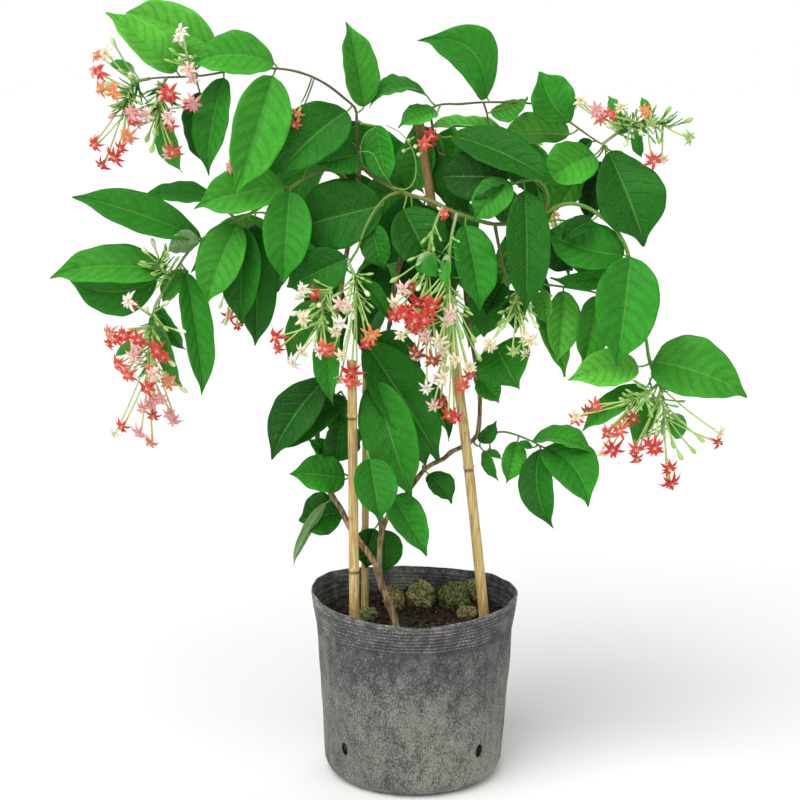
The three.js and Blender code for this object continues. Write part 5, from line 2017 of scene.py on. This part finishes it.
SHOOTS = (
    LeafyShoot("leafy_shoot_top_left", "woody_vine", (((-63, 729, 3), (-64, 750, -6), (-66, 780, -12),
        (-67, 800, -15), (-78, 811, -18), (-100, 828, -20), (-125, 840, -22), (-155, 846, -22), (-200,
        845, -15), (-245, 838, -12), (-290, 836, -12), (-312, 834, -14)),), (Leaf((-272, 843, -18),
        (-350, 910, -42), 38, 20, FRESH), Leaf((-227, 868, -2), (-330, 911, 28), 50, 15, FRESH, 0.1),
        Leaf((-160, 852, -26), (-257, 852, -34), 46, 25, BRIGHT, 0.08, 0.07), Leaf((-218, 836, -10),
        (-240, 725, -26), 38, 28, MID), Leaf((-246, 820, 8), (-240, 733, 26), 30, 40, DARK), Leaf((-162,
        838, -32), (-207, 703, -72), 62, -12, BRIGHT), Leaf((-57, 803, -20), (-76, 899, -34), 39, 25,
        BRIGHT, 0.05), Leaf((-77, 798, -22), (-156, 727, -46), 62, 20, DARK, 0.05, 0.03), Leaf((-44, 782,
        -20), (-30, 714, -34), 34, 25, MID, 0.02), Leaf((-64, 748, -20), (-110, 738, -42), 44, 20,
        DARK)), radii=(1.6, 1.1), foot="#6b5a3c", end="#7a8246", greening=(0.5, 1)),
    LeafyShoot("leafy_shoot_top_right", "woody_vine", (((43, 688, 8), (38, 715, 8), (30, 745, 6), (22,
        778, 2), (20, 800, -4), (34, 806, -6), (52, 806, -10), (78, 808, -12), (110, 808, -12), (140,
        806, -10), (160, 800, -8), (185, 782, -5), (208, 766, -4), (222, 758, -4)), ((80, 808, -12), (84,
        796, -8), (86, 784, -2))), (Leaf((14, 817, -4), (-52, 805, -20), 20, 64, MID, 0.2), Leaf((27,
        797, -10), (-18, 781, -30), 22, 42, BRIGHT), Leaf((14, 768, 14), (-6, 702, 20), 44, 20, BRIGHT),
        Leaf((36, 748, 0), (64, 680, -14), 40, 30, DARK), Leaf((100, 777, 4), (14, 781, 24), 12, 72,
        FRESH, 0.03), Leaf((84, 813, -14), (5, 878, -28), 54, 10, MID, 0.06, 0.28), Leaf((88, 797, -10),
        (132, 812, -22), 22, 135, BRIGHT), Leaf((180, 785, -8), (145, 843, -14), 50, 15, MID, 0.05, -0.1,
        1.1), Leaf((180, 772, 0), (97, 769, -12), 35, 140, FRESH), Leaf((44, 770, -26), (168, 714, -78),
        42, -32, DARK, 0.08), Leaf((209, 748, 2), (150, 715, -22), 50, 25, BRIGHT), Leaf((210, 744, 13),
        (166, 686, 26), 44, 150, FRESH), Leaf((225, 751, -14), (270, 643, -44), 74, -15, DARK, 0.1, 0,
        1.1), Leaf((228, 753, 6), (240, 732, 28), 32, 10), Leaf((206, 764, 6), (186, 752, 18), 14, 20,
        DARK), Leaf((222, 740, 20), (202, 668, 52), 30, 40, DEEP)), radii=(1.5, 1.1), foot="#6b5a3c",
        end="#7d7a48", greening=(0.6, 1)),
    LeafyShoot("leafy_shoot_right", "woody_vine", (((-64, 731, 2), (-58, 733, -10), (-45, 722, -20),
        (-13, 705, -32), (20, 695, -40), (45, 683, -44), (80, 671, -44), (100, 668, -42), (125, 672,
        -38), (150, 680, -40), (165, 688, -42), (180, 692, -44), (195, 690, -46), (210, 683, -48), (225,
        672, -50), (236, 661, -50), (244, 649, -50), (250, 636, -48), (256, 612, -42), (265, 575, -34),
        (274, 535, -30), (278, 512, -32), (284, 492, -34)), ((152, 683, -41), (156, 694, -46), (154, 707,
        -52), (148, 716, -56), (140, 720, -58), (125, 718, -58), (113, 714, -56))), (Leaf((254, 630,
        -56), (241, 500, -88), 72, -8, MID, 0.05), Leaf((246, 632, -46), (150, 662, -34), 54, 30, MID,
        0.08, -0.12), Leaf((244, 612, -34), (160, 603, -22), 22, -35), Leaf((208, 673, -54), (172, 650,
        -60), 22, 30, DEEP), Leaf((283, 506, -38), (397, 465, -64), 68, -22, BRIGHT, 0.05, -0.04, 0.62),
        Leaf((266, 500, -40), (184, 485, -64), 42, 22, FRESH), Leaf((276, 474, -40), (200, 423, -56), 28,
        30, BRIGHT), Leaf((129, 707, -64), (132, 563, -86), 50, -12, DARK), Leaf((112, 717, -58), (70,
        673, -60), 40, 20, BRIGHT), Leaf((110, 722, -54), (26, 723, -26), 56, 20, DEEP, 0.03), Leaf((60,
        667, -48), (79, 566, -74), 47, -20), Leaf((-12, 686, -42), (26, 606, -54), 62, -15, DARK, 0.06),
        Leaf((156, 660, -28), (186, 612, -15), 40, 20, DEEP), Leaf((-2, 686, -34), (47, 655, -28), 20,
        -35, DEEP), Leaf((43, 656, -50), (30, 566, -57), 42, 12, DARK)), radii=(2.8, 2.1),
        tendrils=(Tendril(((-30, 712, -24), (-8, 709, -46), (2, 724, -48), (0, 750, -48), (-14, 772,
        -44), (-32, 782, -40)), 1), Tendril(((-25, 712, -30), (-38, 731, -44), (-48, 750, -46), (-62,
        752, -44)), 0.9), Tendril(((-58, 733, -12), (-62, 752, -30), (-56, 772, -40), (-44, 780, -44)),
        0.9))),
    LeafyShoot("leafy_shoot_left", "woody_vine", (((-68, 697, 18), (-76, 715, 6), (-90, 728, -8), (-105,
        731, -14), (-130, 719, -20), (-148, 707, -24), (-175, 690, -22), (-205, 672, -18), (-235, 658,
        -18), (-258, 642, -20), (-275, 620, -22), (-287, 600, -24), (-298, 582, -26)), ((-205, 672, -18),
        (-222, 688, -6), (-232, 698, 4))), (Leaf((-248, 652, -20), (-396, 702, -44), 44, 22, MID, 0.06,
        0, 1), Leaf((-234, 698, 6), (-318, 699, 20), 23, 45), Leaf((-150, 712, -28), (-256, 688, -46),
        50, 25, BRIGHT, 0.08), Leaf((-144, 706, -34), (-153, 598, -60), 54, 0, MID, 0.09), Leaf((-206,
        668, -26), (-245, 573, -50), 50, 15, BRIGHT), Leaf((-197, 664, -18), (-203, 549, -28), 46, 15,
        DARK), Leaf((-186, 668, -6), (-186, 522, 14), 45, -10, DARK), Leaf((-290, 613, -28), (-428, 607,
        -34), 44, 25, BRIGHT, 0.07, 0.04), Leaf((-300, 603, -20), (-406, 603, -12), 50, -20, MID, 0.05,
        -0.12), Leaf((-268, 612, -14), (-249, 464, -30), 34, -25, MID, 0.05), Leaf((-264, 613, -8),
        (-297, 576, 8), 24, 30, FRESH), Leaf((-250, 648, -30), (-288, 638, -44), 24, 140, PALE),
        Leaf((-300, 572, -16), (-270, 518, -4), 22, 40)), radii=(2.3, 1.4)),
    LeafyShoot("leafy_spur_right", "woody_vine", (((78, 470, 8), (72, 488, -8), (78, 508, -14), (92, 530,
        -14)),), (Leaf((76, 484, -15), (102, 457, -26), 28, -25, BRIGHT), Leaf((97, 524, -24), (124, 474,
        -64), 68, 0, MID, 0.1)), radii=(1.6, 1.1)),
    LeafyShoot("leafy_shoot_low_right", "woody_vine", (((76, 418, 11), (90, 417, 8), (105, 421, 5), (120,
        418, 0), (140, 410, -6), (153, 403, -9)), ((94, 420, 7), (91, 408, 7), (93, 394, 5))),
        (Leaf((142, 410, -8), (217, 393, -34), 24, -55, BRIGHT, 0.16), Leaf((157, 402, -12), (211, 330,
        -50), 54, -15, MID, 0.08, -0.14), Leaf((152, 400, -12), (168, 302, -46), 40, 14, DARK, 0.07,
        0.1), Leaf((124, 409, -4), (112, 358, -18), 28, -12, BRIGHT), Leaf((142, 402, -17), (122, 406,
        -22), 9, 35), Leaf((86, 396, 6), (99, 363, -8), 14, 30), Leaf((88, 397, 6), (106, 388, 2), 9,
        -30, FRESH)), radii=(1.5, 1)),
    LeafyShoot("leafy_spur_low_right", "woody_vine", (((72, 411, 11), (74, 405, -6), (80, 403, -18)),),
        (Leaf((80, 408, -18), (99, 433, -30), 18, 20, DARK), Leaf((84, 398, -18), (101, 361, -34), 13,
        20)), radii=(1.5, 1)),
    LeafyShoot("leafy_shoot_low_middle", "woody_vine", (((-46, 428, 0), (-50, 452, -12), (-52, 480, -20),
        (-56, 510, -24), (-62, 538, -26)),), (Leaf((-46, 482, -44), (-3, 341, -62), 62, 10, MID, 0.05),
        Leaf((-56, 528, -28), (33, 385, -38), 64, -18, DARK, 0.03), Leaf((-50, 532, -18), (10, 500, -4),
        40, -20, DARK), Leaf((-46, 494, -12), (10, 430, -2), 46, -25, DARK))),
    LeafyShoot("leafy_spur_front", "woody_vine", (((-43, 345, -12), (-50, 356, -42), (-55, 378, -68),
        (-55, 398, -76)),), (Leaf((-52, 388, -86), (-40, 310, -116), 50, -10, MID, 0.06),)),
    LeafyShoot("leafy_spur_twig", "woody_vine", (((-17, 335, -15), (-24, 345, -25), (-28, 351, -34)),),
        (Leaf((-25, 342, -38), (17, 268, -62), 40, -15, MID, 0.07, 0, 0.6),), radii=(1.4, 1)),
    LeafyShoot("leafy_spur_twig_right", "woody_vine", (((12, 373, 0), (11, 378, -9), (12, 380, -16)),),
        (Leaf((18, 369, -18), (47, 334, -34), 28, -30, DARK, 0.1),), radii=(1.4, 1)),
    LeafyShoot("leafy_shoot_low_left", "woody_vine", (((-114, 432, 12), (-108, 446, 2), (-98, 460, -4),
        (-86, 470, -8)), ((-96, 461, -5), (-94, 475, -9), (-95, 489, -12))), (Leaf((-104, 485, -17),
        (-171, 388, -46), 50, 20, DEEP, 0.06, 0.03, 0.9), Leaf((-80, 462, -6), (-164, 396, -10), 36, 25,
        DARK), Leaf((-84, 462, 4), (-84, 404, 8), 34, 10, BRIGHT))),
    LeafyShoot("leafy_spur_low_left", "woody_vine", (((-112, 382, 8), (-98, 376, -8), (-76, 366, -20)),),
        (Leaf((-82, 363, -28), (-148, 370, -48), 44, 20, MID, 0.08), Leaf((-94, 384, -12), (-88, 440,
        -16), 44, 40, DARK, 0.03), Leaf((-103, 386, -16), (-124, 412, -30), 20, 40, MID))),
    LeafyShoot("leafy_spur_base_left", "woody_vine", (((-99, 345, 2), (-94, 338, 14), (-86, 328, 20)),),
        (Leaf((-84, 322, 24), (-138, 312, 20), 50, 15, DARK, 0.07, 0, 1), Leaf((-105, 334, 8), (-147,
        256, -20), 13, 150, PALE))),
    LeafyShoot("leafy_spur_base_middle", "woody_vine", (((-40, 288, -25), (-40, 300, -8), (-41, 310,
        6)),), (Leaf((-47, 302, 13), (-57, 252, 14), 38, 15, DEEP), Leaf((-34, 300, 6), (-33, 246, -6),
        36, -15, DARK))),
    LeafyShoot("leafy_shoot_inner", "woody_vine", (((-20, 606, 8), (-8, 640, 14), (4, 668, 16), (14, 698,
        18), (22, 725, 20)),), (Leaf((24, 734, 22), (0, 786, 24), 42, -10, BRIGHT), Leaf((34, 716, 26),
        (46, 784, 42), 46, 10, BRIGHT), Leaf((2, 700, 24), (-34, 618, 22), 52, -10, DARK), Leaf((-6, 716,
        26), (-62, 690, 34), 46, -10, BRIGHT), Leaf((20, 684, 20), (54, 604, 22), 56, 10, DEEP),
        Leaf((-2, 640, 22), (26, 562, 26), 52, 15, DEEP), Leaf((-38, 624, 20), (-62, 552, 16), 40, 0,
        DEEP))),
    LeafyShoot("leafy_shoot_centre", "leafy_shoot_right", (((-12, 706, -33), (-22, 704, -42), (-35, 697,
        -48), (-48, 680, -54), (-58, 660, -58), (-65, 640, -58), (-73, 627, -56), (-82, 610, -52), (-90,
        586, -46)),), (Leaf((-36, 690, -42), (-142, 662, -10), 76, 12, DARK, 0.04), Leaf((-78, 628, -50),
        (-150, 594, -36), 52, 2, DARK), Leaf((-62, 606, -52), (-24, 550, -66), 18, -30, DARK), Leaf((-50,
        668, -46), (-34, 614, -58), 34, 15, DARK), Leaf((-93, 566, -44), (-98, 452, -56), 30, 35))),
    LeafyShoot("leafy_shoot_middle_right", "leafy_shoot_right", (((94, 669, -40), (97, 655, -37), (101,
        635, -32), (106, 612, -28), (112, 602, -26), (130, 599, -20), (150, 598, -14), (180, 594, -12),
        (205, 590, -12), (220, 586, -14)),), (Leaf((103, 599, -31), (85, 562, -46), 36, 20, DEEP),
        Leaf((112, 591, -35), (121, 540, -46), 26, -20, DARK), Leaf((98, 612, -17), (82, 534, 4), 40, 15,
        MID), Leaf((151, 590, -20), (158, 550, -36), 24, 30, FRESH), Leaf((144, 588, -10), (181, 487,
        -16), 30, -20, FRESH), Leaf((176, 590, -16), (170, 505, -34), 38, -18, FRESH), Leaf((217, 584,
        -16), (200, 500, -34), 40, -18, BRIGHT))),
)

SPRAYS = (
    FlowerSpray("flower_spray_top_left_outer", "leafy_shoot_top_left", ((-303, 835, -13), (-316, 832,
        -22), (-326, 824, -30), (-330, 808, -34), (-332, 790, -36)), (Bloom((-353, 863, -34), CREAM,
        0.86), Bloom((-360, 842, -52), RED), Bloom((-345, 820, -70), ORANGE), Bloom((-324, 796, -78),
        PINK), Bloom((-330, 769, -60), ORANGE), Bloom((-368, 760, -36), RED), Bloom((-346, 746, -44),
        RED, 1.15)), (Bud((-347, 882, -24)), Bud((-325, 842, -64)), Bud((-356, 830, -26)), Bud((-352,
        790, -52), PINK)), (Leaf((-320, 842, -20), (-350, 853, -10), 11, 35, BRIGHT),), fringe=60),
    FlowerSpray("flower_spray_top_left_inner", "leafy_shoot_top_left", ((-284, 836, -12), (-290, 822,
        -24), (-293, 806, -30), (-294, 786, -34)), (Bloom((-281, 818, -60), RED, 1.2), Bloom((-308, 793,
        -62), BLUSH, 0.86), Bloom((-284, 790, -76), BLUSH, 0.86), Bloom((-254, 806, -46), PINK),
        Bloom((-279, 752, -50), CORAL)), (Bud((-310, 762, -40), LEAFY), Bud((-304, 750, -58), LEAFY),
        Bud((-300, 772, -70), LEAFY)), (Leaf((-288, 796, -22), (-270, 727, -14), 25, 40, BRIGHT),),
        fringe=60),
    FlowerSpray("flower_spray_top_left_high", "leafy_shoot_top_left", ((-248, 838, -12), (-256, 848,
        -24), (-260, 862, -30)), (Bloom((-266, 888, -44), WHITE, 0.86), Bloom((-258, 844, -62), BLUSH,
        0.86)), (), strays=(Bloom((-135, 795, -40), ORANGE, 0.7), Bloom((-137, 783, -44), CORAL, 0.6))),
    FlowerSpray("flower_spray_left", "leafy_shoot_left", ((-296, 586, -26), (-303, 574, -32), (-308, 556,
        -34), (-311, 536, -36), (-313, 512, -38), (-314, 488, -38)), (Bloom((-335, 578, -62), WHITE,
        1.1), Bloom((-358, 540, -52), SALMON), Bloom((-340, 537, -74), RED, 1.1), Bloom((-324, 532, -92),
        RED), Bloom((-303, 519, -84), RED, 1.1), Bloom((-331, 512, -70), BLUSH, 0.86), Bloom((-349, 503,
        -54), CORAL), Bloom((-338, 490, -84), CORAL), Bloom((-308, 490, -98), BLUSH, 0.95), Bloom((-316,
        474, -78), RED), Bloom((-290, 480, -64), ORANGE), Bloom((-301, 460, -72), PINK, 0.9),
        Bloom((-321, 450, -56), PINK, 0.9), Bloom((-290, 443, -50), PINK, 0.8), Bloom((-347, 428, -46),
        RED, 0.9), Bloom((-327, 420, -42), PINK, 0.9)), (Bud((-316, 572, -64), WHITE), Bud((-288, 578,
        -56)), Bud((-268, 541, -50), WHITE), Bud((-268, 468, -36)), Bud((-282, 500, -60))), (Leaf((-318,
        530, -28), (-354, 512, -14), 12, 30, BRIGHT), Leaf((-304, 560, -24), (-276, 474, -12), 20, 30,
        BRIGHT)), fringe=50),
    FlowerSpray("flower_spray_left_high", "leafy_shoot_left", ((-286, 604, -25), (-294, 614, -34), (-300,
        626, -40)), (), (Bud((-318, 642, -58)), Bud((-306, 652, -42))), strays=(Bloom((-212, 735, -50),
        PINK, 0.7),), fringe=44),
    FlowerSpray("flower_spray_centre_left", "leafy_shoot_centre", ((-86, 598, -48), (-95, 594, -58),
        (-104, 582, -66), (-107, 566, -70), (-108, 546, -72)), (Bloom((-130, 592, -90), WHITE, 0.86),
        Bloom((-130, 556, -100), CREAM, 0.86), Bloom((-162, 535, -70), RED), Bloom((-132, 518, -76),
        CREAM, 0.77), Bloom((-104, 522, -104), CORAL), Bloom((-86, 551, -114), WHITE, 0.86)), (Bud((-142,
        582, -78)), Bud((-146, 562, -86), WHITE), Bud((-112, 572, -106), CREAM), Bud((-118, 528, -86)))),
    FlowerSpray("flower_spray_centre_front", "leafy_shoot_centre", ((-75, 622, -54), (-69, 606, -66),
        (-67, 588, -74), (-68, 568, -78)), (Bloom((-86, 574, -124), BLUSH, 0.99), Bloom((-50, 538, -104),
        ORANGE, 1.1), Bloom((-85, 512, -104), CREAM, 0.77), Bloom((-74, 494, -86), RED, 1.3), Bloom((-76,
        481, -88), CORAL)), (Bud((-52, 584, -98)), Bud((-72, 556, -114)))),
    FlowerSpray("flower_spray_middle_left", "leafy_shoot_right", ((34, 688, -42), (25, 668, -63), (18,
        640, -72), (16, 606, -76), (15, 570, -78)), (Bloom((-12, 592, -104), BLUSH, 0.86), Bloom((-22,
        574, -88), CREAM, 0.86), Bloom((2, 556, -116), RED, 1.15), Bloom((14, 536, -98), BLUSH, 0.86),
        Bloom((4, 516, -84), RUST), Bloom((22, 508, -108), RUST), Bloom((16, 474, -92), WHITE, 0.86)),
        (Bud((-28, 600, -86), LEAFY), Bud((4, 590, -110)), Bud((-10, 540, -96))), (Leaf((10, 634, -78),
        (27, 606, -88), 26, 20),), first=0.5, strays=(Bloom((36, 680, -60), CORAL, 0.6),)),
    FlowerSpray("flower_spray_middle", "leafy_shoot_right", ((50, 681, -43), (44, 652, -68), (41, 616,
        -80), (43, 584, -82), (48, 550, -80)), (Bloom((22, 572, -124), RED, 1.2), Bloom((-10, 563, -112),
        RED, 1.05), Bloom((5, 576, -106), CRIMSON), Bloom((13, 556, -120), RED, 1.1), Bloom((-1, 548,
        -104), RED), Bloom((44, 562, -108), BLUSH, 0.99), Bloom((30, 530, -120), CREAM, 0.86), Bloom((50,
        508, -112), CREAM, 0.86), Bloom((66, 500, -92), CREAM, 0.86), Bloom((36, 486, -106), CREAM,
        0.95), Bloom((58, 476, -88), CORAL), Bloom((24, 452, -82), BLUSH, 0.77), Bloom((42, 442, -98),
        RED, 0.9)), (Bud((58, 532, -98), LEAFY), Bud((74, 528, -84), LEAFY), Bud((80, 506, -78), LEAFY)),
        (Leaf((40, 632, -80), (38, 590, -96), 14, 30, BRIGHT),), first=0.5),
    FlowerSpray("flower_spray_middle_right", "leafy_shoot_middle_right", ((122, 601, -23), (122, 591,
        -38), (121, 575, -50), (120, 556, -57)), (Bloom((90, 525, -82), CREAM, 0.95), Bloom((138, 530,
        -88), CREAM, 0.99), Bloom((118, 518, -78), LEAFY, 0.8)), (Bud((104, 545, -92), LEAFY), Bud((147,
        545, -78)))),
    FlowerSpray("flower_spray_right_outer", "leafy_shoot_right", ((286, 489, -36), (291, 480, -44), (296,
        462, -48), (298, 442, -49), (298, 420, -50)), (Bloom((266, 400, -78), CORAL), Bloom((288, 402,
        -90), RED, 1.2), Bloom((306, 376, -70), RED, 1.1), Bloom((310, 358, -54), RED, 1.1), Bloom((366,
        419, -60), CREAM, 0.69)), (Bud((338, 394, -50), LEAFY), Bud((348, 408, -70), LEAFY), Bud((322,
        386, -84), LEAFY), Bud((312, 400, -56), LEAFY)), (Leaf((304, 442, -44), (320, 412, -30), 22, -30,
        BRIGHT), Leaf((291, 462, -34), (262, 404, -26), 26, 30, BRIGHT))),
    FlowerSpray("flower_spray_right_inner", "flower_spray_right_outer", ((291, 480, -44), (280, 470,
        -60), (266, 461, -68), (252, 455, -72)), (Bloom((216, 453, -82), CORAL, 0.8), Bloom((194, 440,
        -76), CREAM, 0.77), Bloom((262, 437, -88), RUST, 0.8), Bloom((246, 423, -96), CORAL), Bloom((238,
        400, -80), RED, 1.25)), (Bud((228, 418, -70), LEAFY),)),
    FlowerSpray("flower_spray_top_right", "leafy_shoot_top_right", ((218, 761, -4), (232, 771, -10),
        (246, 780, -16), (262, 786, -20), (280, 785, -24), (296, 778, -26)), (Bloom((192, 810, -28),
        CREAM, 0.69), Bloom((210, 799, -44), PINK), Bloom((238, 802, -56), CREAM, 0.77), Bloom((266, 799,
        -66), ORANGE, 0.8), Bloom((277, 742, -46), CORAL, 1.1), Bloom((318, 768, -60), LEAFY, 0.7)),
        (Bud((222, 782, -44)), Bud((244, 758, -50)), Bud((262, 772, -66)), Bud((296, 804, -40), LEAFY),
        Bud((322, 790, -44), LEAFY)), (Leaf((268, 790, -20), (262, 814, -10), 11, 30, BRIGHT), Leaf((238,
        778, -10), (224, 816, -2), 17, 30, BRIGHT), Leaf((258, 780, -14), (263, 744, -4), 13, 30,
        BRIGHT)), strays=(Bloom((20, 770, -30), RED, 0.9), Bloom((12, 760, -36), CORAL, 0.8), Bud((0,
        757, -40)), Bud((-8, 764, -44), LEAFY), Bud((4, 748, -46)), Bud((-14, 752, -40), LEAFY)),
        fringe=70),
)

FAR_SHOOTS = (
    FarShoot("leafy_shoot_back_left", ((-94, 540, 16), (-112, 605, 48), (-140, 655, 88), (-170, 680,
        125), (-195, 680, 160)), 7, 29, 100),
    FarShoot("leafy_shoot_back_high_left", ((-70, 680, 22), (-84, 728, 60), (-96, 772, 108), (-104, 792,
        158), (-110, 788, 205)), 7, 5, 118),
    FarShoot("leafy_shoot_back_middle", ((-24, 580, 8), (-16, 622, 52), (-6, 652, 105), (2, 668, 160),
        (8, 668, 210)), 7, 47, 104),
    FarShoot("leafy_shoot_back_high_right", ((48, 664, 7), (62, 718, 50), (85, 760, 104), (108, 776,
        150), (125, 772, 195)), 7, 67, 104),
    FarShoot("leafy_shoot_back_right", ((64, 560, 0), (92, 614, 38), (125, 652, 80), (160, 672, 122),
        (190, 670, 160)), 7, 9, 90),
    FarShoot("leafy_shoot_back_low", ((-45, 432, 0), (-24, 464, 34), (-8, 490, 78), (0, 502, 124)), 5,
        88, 84),
)

FAR_SPRAYS = (
    FarSpray("flower_spray_back_left", "leafy_shoot_back_left", ((-193, 680, 157), (-202, 674, 174),
        (-207, 655, 187), (-208, 632, 194), (-208, 610, 197)), 31, (WHITE, RED, CORAL, PINK, RED,
        SALMON)),
    FarSpray("flower_spray_back_middle", "leafy_shoot_back_middle", ((8, 668, 207), (10, 662, 225), (12,
        644, 240), (13, 620, 247), (13, 598, 250)), 17, (CREAM, CORAL, RED, BLUSH, RED, CREAM)),
    FarSpray("flower_spray_back_right", "leafy_shoot_back_high_right", ((124, 773, 192), (132, 766, 208),
        (138, 748, 220), (141, 726, 227), (142, 706, 230)), 77, (BLUSH, PINK, ORANGE, RED, WHITE,
        CORAL)),
)


def main() -> None:
    """Builds every piece in order."""
    logging.basicConfig(level=logging.INFO, format="%(name)s: %(message)s")
    bag = NurseryBag()
    bag.build(NurseryPlastic().material())
    SoilFill(bag).build(PottingSoil().material())
    crust = MossyCrust().material()
    for lump in LUMPS:
        lump.build(crust)
    skin = BambooCulm().material()
    for stake in STAKES:
        stake.build(skin)
    grown: Lines = {}
    WoodyVine(LIMBS).build(VineBark().material(), grown)
    blade, petal = LeafSurface().material(), Petal().material()
    for shoot in (*SHOOTS, *(far.shoot() for far in FAR_SHOOTS)):
        shoot.build(blade, grown)
    for spray in (*SPRAYS, *(far.spray() for far in FAR_SPRAYS)):
        spray.build(petal, grown)
    Studio().set_up()
    boxes = {"cad": CAD_BOX, "visual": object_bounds()}
    {name: [list(corner) for corner in box] for name, box in boxes.items()}


if __name__ == "__main__":
    main()
